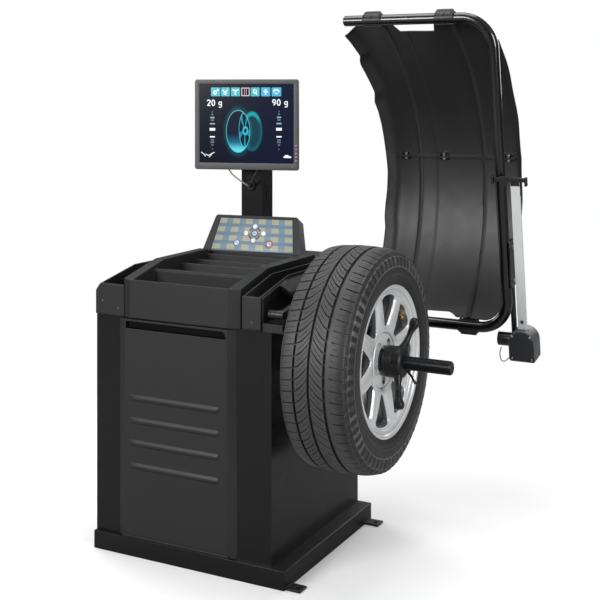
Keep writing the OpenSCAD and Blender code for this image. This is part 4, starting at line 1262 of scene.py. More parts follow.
def fasteners():
    g = Geo()
    for x, z in ((-303, 757), (-245, 738)):
        screw_head(g, x, -295, z, 3.8, 2.0)
    screw_head(g, 228, -304.4, 742, 3.8, 2.0)
    screw_head(g, 228, -302.6, 728, 1.8, 0.8)
    g.out("tray_screws", M["screw"], "cabinet", smooth=35, slot="moulded_black", fix=True)
    b = Geo()
    for x in (-240, -130, -20, 80, 190):
        for z in (88, 692):
            screw_head(b, x, 300.4, z, 5.0, 2.8, (0, 1, 0))
    b.out("rear_cover_screws", M["zinc"], "cabinet", smooth=35, slot="zinc", fix=True)
    a = Geo()
    for y in (-272, -248, 240, 264):
        pass
    a = None


fasteners()


# ------------------------------------------------------------------ distance gauge arm
def gauge_arm():
    g = Geo()
    mid = [(20, 775, 20, 11), (2, 781, 19, 11), (-20, 784.5, 18, 11), (-48, 789.6, 16.0, 11), (-90, 789.6, 14.6, 11), (-135, 786.5, 13.6, 10.8), (-180, 781, 13, 10.6), (-215, 775, 12.6, 10.6),
           (-244, 770, 12.2, 11), (-262, 767.5, 12.2, 11.5), (-272, 766.4, 12.2, 12)]
    v, n = [], 20
    for y, z, hz, hx in mid:
        for k in range(n):
            a = 2 * pi * k / n
            c, s = cos(a), sin(a)
            e = 0.62
            v.append((310.5 + hx * math.copysign(abs(c) ** e, c), y, z + hz * math.copysign(abs(s) ** e, s)))
    f = grid_faces(len(mid), n, wrap_v=True)
    f.append(tuple(range(n)))
    f.append(tuple((len(mid) - 1) * n + k for k in range(n - 1, -1, -1)))
    g.add(v, f)
    # handle roller at the tip and the clamp round the rod
    hv, hf = lathe([(0, 274.0), (4.2, 274.0), (4.2, 272.2), (9.5, 272.2), (11.9, 273.4), (12.5, 275.6), (12.5, 282), (11.7, 283), (11.7, 296), (12.5, 297), (12.5, 319.4), (11.6, 321.8), (9, 323), (0, 323)], 40)
    g.add([(x, y - 281, z + 766.5) for x, y, z in hv], hf)
    cv, cf = lathe([(8.1, 299), (17.6, 299), (19, 300.6), (19, 320.4), (17.6, 322), (8.1, 322)], 48)
    g.add([(x, y + 20, z + 775) for x, y, z in cv], cf)
    g.out("gauge_arm_moulding", M["clip"], "gauge_swing", smooth=38, rep="gauge_arm", slot="moulded_black", fix=True)
    s = Geo()
    screw_head(s, 321.6, 20, 796 - 4, 3, 1.8, (0.0, 0.0, 1.0))
    s.out("gauge_arm_screw", M["zinc"], "gauge_swing", smooth=35, slot="zinc", fix=True)


gauge_arm()


# ------------------------------------------------------------------ keypad
KEYS = [(0, 90), (0, 42), (-29, 65.5), (33, 66.5), (1.5, 66), (-57, 31), (58, 31)]


def keypad_material():
    t = Tree("film_keypad")
    q, (x, y, z) = t.local(CONSOLE)
    hw = t.math("ADD", 147.5, t.math("MULTIPLY", t.math("SUBTRACT", z, 4.5), -17.9 / 112.1))
    u = t.math("DIVIDE", x, hw)
    fu = t.math("ABSOLUTE", t.math("SUBTRACT", t.math("FRACT", t.math("ADD", t.math("DIVIDE", u, 0.354), 10.0)), 0.5))
    fz = t.math("ABSOLUTE", t.math("SUBTRACT", t.math("FRACT", t.math("DIVIDE", t.math("ADD", z, 29.6 - 18 + 14.8), 29.6)), 0.5))
    sq = t.math("MULTIPLY", t.ramp(fu, 0.285, 0.262), t.ramp(fz, 0.315, 0.285))
    wob = t.noise(90, 3, 0.6)
    blue = t.mix(wob, lin("#5d7388"), lin("#6a8093"))
    half = t.math("MULTIPLY", t.math("MULTIPLY", t.ramp(fu, 0.24, 0.26), t.ramp(fz, 0.31, 0.28)), 0.35)
    blue = t.mix(half, blue, lin("#7e929b"))
    c = t.mix(sq, blue, t.mix(wob, lin("#97957f"), lin("#a4a38e")))

    def dist(cx, cz):
        a, b = t.math("SUBTRACT", x, cx), t.math("SUBTRACT", z, cz)
        return t.math("SQRT", t.math("ADD", t.math("MULTIPLY", a, a), t.math("MULTIPLY", b, b))), a, b
    d, a, b = dist(1.5, 66)
    diag = t.ramp(t.math("DIVIDE", t.math("ABSOLUTE", t.math("MULTIPLY", a, b)), t.math("MULTIPLY", d, d)), 0.30, 0.38)
    ring = t.math("MULTIPLY", t.math("MULTIPLY", t.ramp(d, 16.2, 17.0), t.ramp(d, 23.4, 22.6)), diag)
    c = t.mix(ring, c, lin("#5a4743"))
    halo = t.math("MULTIPLY", t.ramp(d, 13.2, 12.4), t.ramp(d, 8.6, 9.2))
    c = t.mix(halo, c, lin("#7a5350"))
    d2, _, _ = dist(-57, 31)
    c = t.mix(t.math("MULTIPLY", t.ramp(d2, 10.4, 11.0), t.ramp(d2, 12.8, 12.2)), c, lin("#55657c"))
    d3, _, _ = dist(58, 31)
    c = t.mix(t.math("MULTIPLY", t.ramp(d3, 9.8, 10.4), t.ramp(d3, 14.2, 13.4)), c, lin("#7d4446"))
    # painted shadow: a dark strip along the film's left and right edges
    edge = t.math("ABSOLUTE", u)
    c = t.mix(t.ramp(edge, 0.984, 0.992), c, lin("#2b2f35"))
    r = t.math("ADD", 0.34, t.math("MULTIPLY", t.noise(40, 3), 0.12))
    return t.set(color=c, rough=r, normal=t.bump(t.math("ADD", t.voronoi(1400), t.math("MULTIPLY", sq, 0.5)), 0.12, 0.0002), spec=0.4)


def key_material(name, base, kind):
    t = Tree(name)
    q, (x, y, z) = t.local(CONSOLE)
    c = t.mix(t.noise(60, 3, 0.6), lin(base), [min(1, k * 1.06) for k in lin(base)])
    cx, cz = {"enter": KEYS[4], "stop": KEYS[5], "start": KEYS[6], "up": KEYS[0], "down": KEYS[1], "left": KEYS[2], "right": KEYS[3]}[kind]
    a, b = t.math("SUBTRACT", x, cx), t.math("SUBTRACT", z, cz)
    aa, ab = t.math("ABSOLUTE", a), t.math("ABSOLUTE", b)
    d = t.math("SQRT", t.math("ADD", t.math("MULTIPLY", a, a), t.math("MULTIPLY", b, b)))
    if kind == "enter":
        m = t.math("MULTIPLY", t.ramp(aa, 5.0, 4.4), t.ramp(ab, 1.3, 0.9))
        c = t.mix(m, c, lin("#2f4a66"))
    elif kind == "stop":
        m = t.math("MULTIPLY", t.ramp(aa, 4.2, 3.8), t.ramp(ab, 4.2, 3.8))
        hole = t.math("MULTIPLY", t.ramp(aa, 2.6, 2.2), t.ramp(ab, 2.6, 2.2))
        c = t.mix(t.math("MULTIPLY", t.math("SUBTRACT", m, hole), 0.7), c, lin("#6079a8"))
    elif kind == "start":
        m = t.math("MULTIPLY", t.math("MULTIPLY", t.ramp(d, 5.2, 4.8), t.ramp(d, 2.6, 3.0)), t.ramp(t.math("ADD", a, b), -1.6, -1.0))
        c = t.mix(m, c, lin("#8e2a2c"))
    else:
        # plain arrow head pointing away from the middle
        dx, dz = {"up": (0, 1), "down": (0, -1), "left": (-1, 0), "right": (1, 0)}[kind]
        along = t.math("ADD", t.math("MULTIPLY", a, dx), t.math("MULTIPLY", b, dz))
        across = t.math("ABSOLUTE", t.math("SUBTRACT", t.math("MULTIPLY", a, dz), t.math("MULTIPLY", b, dx)))
        tri = t.math("MULTIPLY", t.ramp(t.math("ADD", t.math("MULTIPLY", across, 1.25), along), 3.2, 2.7), t.ramp(along, -1.6, -1.1))
        c = t.mix(t.math("MULTIPLY", tri, 0.25), c, lin("#8a8d92"))
    return t.set(color=c, rough=t.math("ADD", 0.25, t.math("MULTIPLY", t.noise(80, 2), 0.1)), normal=t.bump(t.noise(900, 2), 0.06, 0.0002), spec=0.5, coat=0.25)


def keypad():
    g = Geo()
    out = rounded_poly([(-147.2, 4.8), (147.2, 4.8), (129.4, 116.3), (-129.4, 116.3)], 1.2, 3)
    inn = rounded_poly([(-146.8, 5.2), (146.8, 5.2), (129.0, 115.9), (-129.0, 115.9)], 1.2, 3)
    n = len(out)
    v = [(a, 2.2, b) for a, b in out] + [(a, 0.35, b) for a, b in out] + [(a, 0.05, b) for a, b in inn]
    f = grid_faces(3, n, wrap_v=True) + [tuple(range(n)), tuple(2 * n + k for k in range(n - 1, -1, -1))]
    g.add(v, f)
    o = g.out("keypad_film", keypad_material(), "cabinet", xf=CONSOLE, smooth=30, rep="keypad_panel", slot="keypad_film", fix=True)
    tools = []
    for i, (kx, kz) in enumerate(KEYS):
        vv, ff = lathe([(0, -4), (8.9 if i > 3 else 8.4, -4), (8.9 if i > 3 else 8.4, 5), (0, 5)], 40, "Y")
        tools.append(([tuple(CONSOLE @ Vector((a + kx, b, c + kz))) for a, b, c in vv], ff))
    cut(o, tools)
    shade(o.data, 30)
    names = ["up", "down", "left", "right", "enter", "stop", "start"]
    cols = {"up": "#e9e9e6", "down": "#e6e6e3", "left": "#e2e2df", "right": "#ececea", "enter": "#a5cbe2", "stop": "#bccbe4", "start": "#dccaca"}
    for i, (kx, kz) in enumerate(KEYS):
        r = 8.5 if i > 3 else 8.0
        prof = [(0, -2.9), (r * 0.35, -2.75), (r * 0.62, -2.4), (r * 0.82, -1.8), (r * 0.94, -1.1), (r, 0.0), (r, 3.3), (r + 1.6, 3.4), (r + 1.6, 4.8), (r, 4.9), (r * 0.8, 7.8), (0, 7.8)]
        vv, ff = lathe(prof, 40, "Y")
        k = Geo()
        k.add([(a + kx, b, c + kz) for a, b, c in vv], ff)
        k.out("key_cap_" + names[i], key_material("plastic_key_" + names[i], cols[names[i]], names[i]), "key_" + names[i], xf=CONSOLE, smooth=45,
              rep="key_" + names[i], slot="key_blue" if i in (4, 5) else "key_red" if i == 6 else "key_white", fix=True)


keypad()


# ------------------------------------------------------------------ monitor
def glow(name, color, power, other=None):
    t = Tree(name)
    c = t.mix(t.noise(120, 2), color, other or [k * 0.85 for k in color])
    return t.set(color=[k * 0.2 for k in color], rough=0.3, emit=c, power=power)


def screen_material():
    t = Tree("display_panel")
    q, (x, y, z) = t.local(MONITOR)

    def ell(cx, cz, a, b):
        u, v = t.math("DIVIDE", t.math("SUBTRACT", x, cx), a), t.math("DIVIDE", t.math("SUBTRACT", z, cz), b)
        return t.math("SQRT", t.math("ADD", t.math("MULTIPLY", u, u), t.math("MULTIPLY", v, v))), u, v

    def band(d, c0, w, soft):
        return t.ramp(t.math("ABSOLUTE", t.math("SUBTRACT", d, c0)), w + soft, w)
    e1, u1, v1 = ell(-27.7, -22, 41, 70)
    e2, u2, v2 = ell(-5.8, -17, 19, 58)
    e3, u3, v3 = ell(20, -21, 36, 69)
    base = t.mix(t.ramp(x, -170, 170), (0.0025, 0.003, 0.011), (0.003, 0.006, 0.030))
    base = t.mix(t.ramp(z, -140, 140, 0, 0.25), base, (0.006, 0.006, 0.018))
    in1, in2, in3 = t.ramp(e1, 1.0, 0.985), t.ramp(e2, 1.0, 0.97), t.ramp(e3, 1.0, 0.9)
    # back barrel
    back = t.math("MULTIPLY", in3, t.math("SUBTRACT", 1.0, in1))
    fin = t.math("MULTIPLY", back, t.math("ADD", 0.10, t.math("MULTIPLY", t.ramp(e3, 0.62, 0.98), 0.20)))
    col = t.mix(fin, base, (0.0, 0.45, 0.50))
    hi = t.math("MULTIPLY", back, t.math("MULTIPLY", t.ramp(v3, 0.25, 0.75), t.ramp(t.math("ABSOLUTE", t.math("SUBTRACT", e3, 0.82)), 0.16, 0.02)))
    col = t.mix(t.math("MULTIPLY", hi, 0.6), col, (0.02, 0.62, 0.66))
    # front well
    low = t.ramp(v1, -0.05, -0.95)
    well = t.math("MULTIPLY", t.math("MULTIPLY", in1, t.math("SUBTRACT", 1.0, in2)), 1.0)
    col = t.mix(t.math("MULTIPLY", well, 0.75), col, (0.006, 0.012, 0.035))
    col = t.mix(t.math("MULTIPLY", t.math("MULTIPLY", well, low), 0.95), col, t.mix(t.ramp(v1, -0.45, -0.9), (0.01, 0.30, 0.50), (0.16, 0.80, 0.98)))
    # disc with spokes
    ang = t.math("ARCTAN2", v2, t.math("MULTIPLY", u2, 1.0))
    sp = t.math("ABSOLUTE", t.math("SUBTRACT", t.math("FRACT", t.math("ADD", t.math("MULTIPLY", ang, 5 / (2 * pi)), 5.2)), 0.5))
    spoke = t.ramp(sp, 0.30, 0.36)
    disc = t.math("MULTIPLY", in2, in1)
    col = t.mix(t.math("MULTIPLY", disc, 0.9), col, (0.004, 0.008, 0.03))
    eh, _, _ = ell(-3.0, -20, 9.5, 15)
    hub = t.ramp(eh, 1.15, 1.0)
    face = t.math("MULTIPLY", disc, t.math("MAXIMUM", t.math("MULTIPLY", spoke, t.ramp(e2, 0.97, 0.93)), hub))
    col = t.mix(t.math("MULTIPLY", face, 0.8), col, (0.01, 0.36, 0.50))
    col = t.mix(t.math("MULTIPLY", disc, t.math("MULTIPLY", band(eh, 0.75, 0.10, 0.12), 0.9)), col, (0.05, 0.70, 0.85))
    col = t.mix(t.math("MULTIPLY", t.ramp(eh, 0.5, 0.4), disc), col, (0.004, 0.02, 0.06))
    # outlines
    line1 = t.math("MULTIPLY", band(e1, 0.985, 0.010, 0.022), 0.85)
    col = t.mix(line1, col, t.mix(t.ramp(v1, 0.9, -0.9), (0.20, 0.62, 0.72), (0.10, 0.75, 0.95)))
    line2 = t.math("MULTIPLY", t.math("MULTIPLY", band(e2, 0.985, 0.02, 0.05), in1), 0.8)
    col = t.mix(line2, col, (0.10, 0.60, 0.75))
    halo = t.math("MULTIPLY", t.ramp(e1, 1.35, 1.0), t.math("SUBTRACT", 1.0, in1))
    col = t.mix(t.math("MULTIPLY", halo, 0.10), col, (0.0, 0.55, 0.6))
    return t.set(color=(0.003, 0.004, 0.006), rough=0.2, spec=0.15, emit=col, power=0.95)


def stroke(g, pts, w, y0, y1, closed=False):
    """Flat ribbon of even width along points (x, z)."""
    P = [Vector((a, b)) for a, b in pts]
    n = len(P)
    L, R = [], []
    for i in range(n):
        if closed:
            a, b = P[i - 1], P[(i + 1) % n]
        else:
            a, b = P[max(i - 1, 0)], P[min(i + 1, n - 1)]
        t = (b - a).normalized()
        nrm = Vector((-t.y, t.x)) * w / 2
        L.append(P[i] + nrm)
        R.append(P[i] - nrm)
    v, f = [], []
    for i in range(n):
        for q in (L[i], R[i]):
            v.append((q.x, y0, q.y))
            v.append((q.x, y1, q.y))
    for i in range(n if closed else n - 1):
        a, b = 4 * i, 4 * ((i + 1) % n)
        f += [(a, a + 2, b + 2, b), (a + 1, b + 1, b + 3, a + 3), (a, b, b + 1, a + 1), (a + 2, a + 3, b + 3, b + 2)]
    if not closed:
        f += [(0, 1, 3, 2), (4 * n - 4, 4 * n - 2, 4 * n - 1, 4 * n - 3)]
    g.add(v, f)


def arc(cx, cz, rx, rz, a0, a1, n=18):
    return [(cx + rx * cos(math.radians(a0 + (a1 - a0) * i / n)), cz + rz * sin(math.radians(a0 + (a1 - a0) * i / n))) for i in range(n + 1)]


def digits(g, x, z, s, what):
    """Figures 13 wide and 21 high drawn as strokes, lower left corner at x, z."""
    w = 3.3 * s
    Y = (2.55, 2.8)
    if what == "2":
        stroke(g, arc(x + 5.8 * s, z + 14.6 * s, 4.7 * s, 4.8 * s, 170, -35) + [(x + 5.4 * s, z + 6.4 * s), (x + 2.2 * s, z + 1.7 * s)], w, *Y)
        stroke(g, [(x + 0.8 * s, z + 1.7 * s), (x + 11.4 * s, z + 1.7 * s)], w, 2.3, 2.5)
    elif what == "0":
        stroke(g, arc(x + 6 * s, z + 10.5 * s, 4.7 * s, 8.9 * s, 0, 350, 28), w, *Y, closed=True)
    elif what == "9":
        stroke(g, arc(x + 6 * s, z + 14.2 * s, 4.6 * s, 5.2 * s, 0, 345, 22), w, *Y, closed=True)
        stroke(g, [(x + 10.5 * s, z + 14.2 * s), (x + 10.2 * s, z + 9.5 * s), (x + 8.4 * s, z + 5 * s), (x + 4.6 * s, z + 1.4 * s)], w, 2.3, 2.5)
    elif what == "g":
        stroke(g, arc(x + 5.6 * s, z + 8.6 * s, 4.4 * s, 5.0 * s, 0, 345, 22), w * 0.86, *Y, closed=True)
        stroke(g, [(x + 10.2 * s, z + 14.4 * s), (x + 10.2 * s, z + 0.6 * s)] + arc(x + 5.8 * s, z - 0.6 * s, 4.3 * s, 3.6 * s, 0, -150, 12), w * 0.86, *Y)


def monitor():
    # frame
    def loop(t, inset=0.0, y=0.0, r=8.0):
        x0, x1 = -177 + (17) * t + inset, 177 - 17 * t - inset
        z0, z1 = -149 + 23 * t + inset, 149 - 16 * t - inset
        return [(a, y, b) for a, b in rrect(x0, x1, z0, z1, max(0.6, r), 6)]
    layers = [loop(0, 3.4, 12.0, 5), loop(0, 0.8, 12.0, 7.5), loop(0, 0.0, 11.0, 8), loop(0, 0.0, 3.4, 8), loop(0, 0.5, 1.4, 8), loop(0, 1.6, 0.45, 7), loop(0, 2.8, 0.1, 6),
              loop(0, 4.0, 0.0, 5), loop(0.5, 0, 0.0, 3.5), loop(0.86, 0, 0.0, 2.2), loop(0.94, 0, 0.35, 1.6), loop(0.985, 0, 1.2, 1.0), loop(1.0, 0, 2.6, 0.8), loop(1.0, 0, 3.1, 0.8),
              loop(1.0, -4, 3.1, 0.8), loop(1.0, -4.6, 8.0, 0.8), loop(0.2, 2.0, 12.0, 2)]
    n = len(layers[0])
    v = [p for l in layers for p in l]
    f = grid_faces(len(layers), n, wrap_u=True, wrap_v=True)
    g = Geo()
    g.add(v, f)
    g.out("monitor_frame", M["bezel"], "monitor", xf=MONITOR, smooth=36, rep="monitor_bezel", slot="bezel_grey", fix=True)

    s = Geo()
    s.add(*prism([(a, b) for a, b in rrect(-164.5, 164.5, -130.5, 137.5, 1, 3)], 2.9, 8.0, "Y"))
    s.out("monitor_panel", screen_material(), "monitor", xf=MONITOR, smooth=30, rep="monitor_screen", slot="screen", fix=True)

    # tiles of the menu row
    tiles = [(-121, -89.5), (-86.7, -56.6), (-52.5, -21.6), (-17.4, 12.2), (15.5, 45.2), (50.5, 81.4), (86.4, 118.5)]
    ga, gb, gw, gp = Geo(), Geo(), Geo(), Geo()
    Z0, Z1 = 93.3, 122.4
    for i, (a, b) in enumerate(tiles):
        if i == 3:
            stroke(gp, [(a + 2, Z0 + 2), (b - 2, Z0 + 2), (b - 2, Z1 - 2), (a + 2, Z1 - 2)], 3.6, 2.5, 2.75, closed=True)
            for k in (-3, 3):
                stroke(gp, [((a + b) / 2 + k, Z0 + 5), ((a + b) / 2 + k, Z1 - 5)], 1.2, 2.5, 2.75)
            continue
        (ga if i < 5 else gb).add(*prism([(p, q) for p, q in rrect(a, b, Z0, Z1, 1.6, 4)], 2.65, 2.85, "Y"))
    cz = (Z0 + Z1) / 2
    stroke(gw, arc(-107, cz - 2, 4.5, 5.5, 0, 345, 16), 3.4, 2.4, 2.6, closed=True)
    gw.add(*block(-101, -95, 2.4, 2.6, cz + 3, cz + 9))
    stroke(gw, [(-80, cz + 7), (-76, cz + 1), (-70, cz + 1), (-64, cz + 7)], 3.2, 2.4, 2.6)
    stroke(gw, arc(-72.4, cz - 5, 4.2, 3.2, 0, 345, 14), 2.4, 2.4, 2.6, closed=True)
    stroke(gw, [(-47, cz + 7), (-37, cz + 3), (-27, cz + 7)], 4.2, 2.4, 2.6)
    stroke(gw, [(-37, cz + 4), (-37, cz - 9)], 4.2, 2.4, 2.6)
    stroke(gw, arc(30, cz + 2, 5, 6, 80, 400, 18), 3.4, 2.4, 2.6)
    stroke(gw, [(33, cz - 3), (37, cz - 9)], 3.4, 2.4, 2.6)
    stroke(gw, [(66, cz + 9), (66, cz - 9)], 4.4, 2.4, 2.6)
    stroke(gw, [(59, cz + 1), (73, cz + 1)], 4.4, 2.4, 2.6)
    stroke(gw, arc(102, cz + 1, 8, 6.4, 200, -20, 16), 4.6, 2.4, 2.6)
    stroke(gw, [(98, cz - 5), (106, cz - 5)], 3.4, 2.4, 2.6)
    # readings
    digits(gw, -134.9, 61, 1.03, "2")
    digits(gw, -119.5, 61, 1.03, "0")
    digits(gw, -95.5, 61, 1.03, "g")
    digits(gw, 88.4, 62.5, 1.03, "9")
    digits(gw, 104, 62.5, 1.03, "0")
    digits(gw, 128.5, 62.5, 1.03, "g")
    # axle and car outlines in the corners
    stroke(gw, [(-155, -92), (-146, -98), (-140, -106)], 2.4, 2.4, 2.6)
    stroke(gw, [(-140, -98), (-131, -103), (-120, -98), (-109, -92)], 2.6, 2.4, 2.6)
    stroke(gw, [(-128, -108), (-121, -102), (-118, -95)], 2.4, 2.4, 2.6)
    gw.add(*prism([(127, -108), (152, -108), (153, -104), (147, -102), (141, -98.5), (133, -98.5), (128, -102.5), (126, -104.5)], 2.4, 2.6, "Y"))
    bars = [(41.5, 3, 0), (33, 6, 0), (22.5, 14, 1), (14, 11, 0), (2.2, 17, 1), (-14, 19, 2), (-18.4, 19, 2), (-41, 17, 2), (-52, 11, 0), (-59, 13, 0), (-68, 7, 0), (-82, 3, 0)]
    gd, gm = Geo(), Geo()
    for cx, dz, tint in ((-116.3, 0, 0), (111, 2, 0)):
        for z, w, k in bars:
            (gd, gm, gw)[k].add(*block(cx - w / 2, cx + w / 2, 2.6, 2.82, z + dz - 2.3, z + dz + 2.3))
    ga.out("screen_tiles", glow("glow_tile", (0.03, 0.42, 0.50), 0.95, (0.02, 0.35, 0.46)), "monitor", xf=MONITOR, smooth=30, slot="screen", fix=True)
    gb.out("screen_tiles_blue", glow("glow_tile_blue", (0.02, 0.40, 0.62), 0.95, (0.02, 0.33, 0.58)), "monitor", xf=MONITOR, smooth=30, slot="screen", fix=True)
    gp.out("screen_tile_frame", glow("glow_frame", (0.75, 0.58, 0.60), 0.95), "monitor", xf=MONITOR, smooth=30, slot="screen", fix=True)
    gw.out("screen_readings", glow("glow_white", (0.85, 0.90, 0.92), 1.0), "monitor", xf=MONITOR, smooth=30, slot="screen", fix=True)
    gd.out("screen_bars_dim", glow("glow_dim", (0.10, 0.15, 0.22), 0.9), "monitor", xf=MONITOR, smooth=30, slot="screen", fix=True)
    gm.out("screen_bars_mid", glow("glow_mid", (0.26, 0.40, 0.48), 0.9), "monitor", xf=MONITOR, smooth=30, slot="screen", fix=True)
    # printed marks and status light on the frame
    mk = Geo()
    for z in (-67, -80, -93, -104, -116):
        mk.add(*block(166.6, 171.6, -0.25, 0.3, z - 1.3, z + 1.3))
        mk.add(*block(166.6, 168, -0.25, 0.3, z - 3.0, z - 1.2))
    vv, ff = lathe([(0, -0.4), (1.3, -0.35), (1.5, 0.3), (0, 0.4)], 16, "Y")
    mk.add([(a + 158, b, c - 137) for a, b, c in vv], ff)
    mk.out("monitor_frame_marks", moulded("print_pale_grey", "#a5a6a6", rough=0.5), "monitor", xf=MONITOR, smooth=35, slot="bezel_grey", fix=True)
    # vents and fixing screws on the back
    b = Geo()
    for i in range(8):
        b.add(*prism(rrect(-92, 92, 58 + 5.2 * i, 60.4 + 5.2 * i, 1.1, 3), 27.4, 29.0, "Y"))
    for i in range(6):
        b.add(*prism(rrect(-92, 92, -92 + 5.2 * i, -89.6 + 5.2 * i, 1.1, 3), 27.4, 29.0, "Y"))
    b.out("monitor_back_louvres", M["backshell"], "monitor", xf=MONITOR, smooth=30, slot="moulded_black", fix=True)
    p = Geo()
    for dx in (-37.5, 37.5):
        for dz in (-37.5, 37.5):
            screw_head(p, dx, 28, dz, 4.2, 2.4, (0, 1, 0))
    p.out("monitor_back_screws", M["zinc"], "monitor", xf=MONITOR, smooth=35, slot="zinc", fix=True)


monitor()


# ------------------------------------------------------------------ cables and grommet
def spline(pts, per=10):
    P = [Vector(p) for p in pts]
    out = []
    for i in range(len(P) - 1):
        a, b, c, d = P[max(i - 1, 0)], P[i], P[i + 1], P[min(i + 2, len(P) - 1)]
        for k in range(per):
            t = k / per
            out.append(0.5 * ((2 * b) + (c - a) * t + (2 * a - 5 * b + 4 * c - d) * t * t + (3 * b - a - 3 * c + d) * t ** 3))
    out.append(P[-1])
    return [tuple(p) for p in out]


def cables():
    gv, gf = lathe([(7.2, 207), (9.5, 206.0), (14.4, 206.4), (15.4, 208.2), (15.2, 211), (14.0, 213.6), (12.2, 215.2), (11.8, 219.5), (7.2, 219.5)], 40, "Y")
    g = Geo()
    g.add([(a - 71, b, c + 1080) for a, b, c in gv], gf)
    g.out("cable_grommet", M["grommet"], "cabinet", smooth=50, rep="post_grommet", slot="cable", fix=True)
    a = Geo()
    pa = spline([(-73, 232, 1083), (-73.5, 214, 1081), (-76, 200, 1080), (-88, 188, 1090), (-104, 178, 1104), (-122, 172, 1120), (-136, 172, 1140), (-140, 178, 1164)])
    a.add(*pipe(pa, 2.5, 14))
    o = a.out("monitor_cable_signal", moulded("cable_grey", "#8d8f90", rough=0.45, grain=0.15, scale=400), None, smooth=60, rep="monitor_cables", slot="cable", fix=True)
    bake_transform(o)
    b = Geo()
    pb = spline([(-69, 232, 1078), (-68.5, 214, 1079), (-66, 198, 1082), (-54, 186, 1094), (-40, 178, 1112), (-28, 180, 1134), (-22, 190, 1164)])
    b.add(*pipe(pb, 3.0, 14))
    o = b.out("monitor_cable_power", M["cable"], None, smooth=60, rep="monitor_cables", slot="cable", fix=True)
    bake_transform(o)


cables()


# ------------------------------------------------------------------ quick nut, lever, shaft, springs, valve
def loft(stations, n=28, e=0.8):
    """Closed solid from (z, cx, rx, ry) stations with squarish oval sections; closed flat at both ends."""
    v = []
    for z, cx, rx, ry in stations:
        for k in range(n):
            a = 2 * pi * k / n
            c, s = cos(a), sin(a)
            v.append((cx + rx * math.copysign(abs(c) ** e, c), ry * math.copysign(abs(s) ** e, s), z))
    f = grid_faces(len(stations), n, wrap_v=True)
    f.append(tuple(range(n)))
    f.append(tuple((len(stations) - 1) * n + k for k in range(n - 1, -1, -1)))
    return v, f


def quick_nut():
    g = Geo()
    prof = [(20.3, 562.4), (43.2, 562.4), (44.6, 563.4), (45.0, 565), (45.0, 571), (44.2, 572), (44.2, 573.4), (45.0, 574.4), (45.0, 592), (44.2, 595.2), (41.6, 599.6), (37, 602.6),
            (30, 604.6), (24.5, 605.6), (23.4, 606), (20.3, 606)]
    v, f = lathe(prof, 96)
    g.add(v, f, xf=AXIS)
    g.out("quick_nut_hub", M["nut"], "nut", smooth=32, rep="wing_nut", slot="nut_black", fix=True)
    for i, deg in enumerate((-30, 150)):
        m = AXIS @ rot(deg, "X") @ T((586, 0, 30)) @ rot(14, "Y")
        st = [(-4, 0, 14, 17), (8, 0, 13.5, 16.5), (14, 0, 12.6, 15.4), (22, 0, 10.6, 12.6), (32, 0, 8.6, 10.0), (44, 0, 7.5, 8.6), (58, 0, 7.4, 8.4), (68, 0, 8.6, 9.4), (76, 0, 10.6, 11.0), (82, 0, 12.8, 12.8),
              (88, 0, 14.4, 14.2), (94, 0, 14.9, 14.6), (99, 0, 14.0, 13.6), (103, 0, 11.6, 11.4), (105.4, 0, 8.0, 8.0), (106.2, 0, 3.6, 4.2)]
        v, f = loft(st, 32, 0.82)
        h = Geo()
        h.add(v, f)
        o = h.out("quick_nut_handle_%d" % (i + 1), M["nut"], "nut", xf=m, smooth=40, slot="nut_black", fix=True)
        tools = []
        for y0, y1 in ((5.6, 30), (-30, -5.6)):
            vv, ff = prism([(a, b) for a, b in rrect(-3.2, 3.2, 30, 76, 3.0, 5)], y0, y1, "Y")
            tools.append(([tuple(m @ Vector(p)) for p in vv], ff))
        vv, ff = prism([(a, b) for a, b in rrect(-2.4, 2.4, 30, 52, 2.3, 5)], -30, 30, "Y")
        tools.append(([tuple(m @ Vector(p)) for p in vv], ff))
        cut(o, tools)
        shade(o.data, 40)
        # web between hub and handle
        w = Geo()
        vv, ff = prism(rounded_poly([(-10, 8), (6, 8), (5, 34), (-5, 34)], 1.5, 3), -6, 6, "Y")
        w.add(vv, ff)
        w.out("quick_nut_web_%d" % (i + 1), M["nut"], "nut", xf=m, smooth=35, slot="nut_black", fix=True)
    c = Geo()
    v, f = lathe([(20.3, 545.4), (39, 545.4), (42.8, 546.2), (44.5, 547.8), (45, 550), (45, 559.2), (44.4, 561), (43.2, 561.9), (20.3, 561.9)], 96)
    c.add(v, f, xf=AXIS)
    c.out("pressure_cup_ring", M["nut"], "cup", smooth=32, rep="pressure_cup", slot="nut_black", fix=True)
    # release lever: block, pin and bent finger piece
    m = AXIS @ rot(205, "X")
    L = Geo()
    L.add(*prism(rounded_poly([(606.9, 22.2), (612.6, 22.2), (612.6, 33), (609.6, 36), (606.9, 36)], 1.0, 3), -6, 6, "Y"))
    st = []
    pts = [(609.8, 0, 30), (611.4, 0, 38), (614.6, 0, 48), (618.2, 0, 58), (621.2, 0, 66), (622.6, 0, 71.5)]
    sp = []
    P = [Vector(p) for p in pts]
    for i in range(len(P) - 1):
        for k in range(6):
            sp.append(tuple(P[i].lerp(P[i + 1], k / 6)))
    sp.append(tuple(P[-1]))
    rr = [3.6] * (len(sp) - 7) + [3.7, 3.9, 4.4, 4.8, 4.8, 4.0, 2.2]
    L.add(*pipe(sp, rr, 16))
    vv, ff = lathe([(0, -8), (2.2, -8), (2.2, 8), (0, 8)], 20, "Y")
    L.add([(a + 609.8, b, c_ + 24) for a, b, c_ in vv], ff)
    o = L.out("release_lever_finger", M["nut"], "nut_lever", xf=m, smooth=38, rep="release_lever", slot="nut_black", fix=True)


quick_nut()


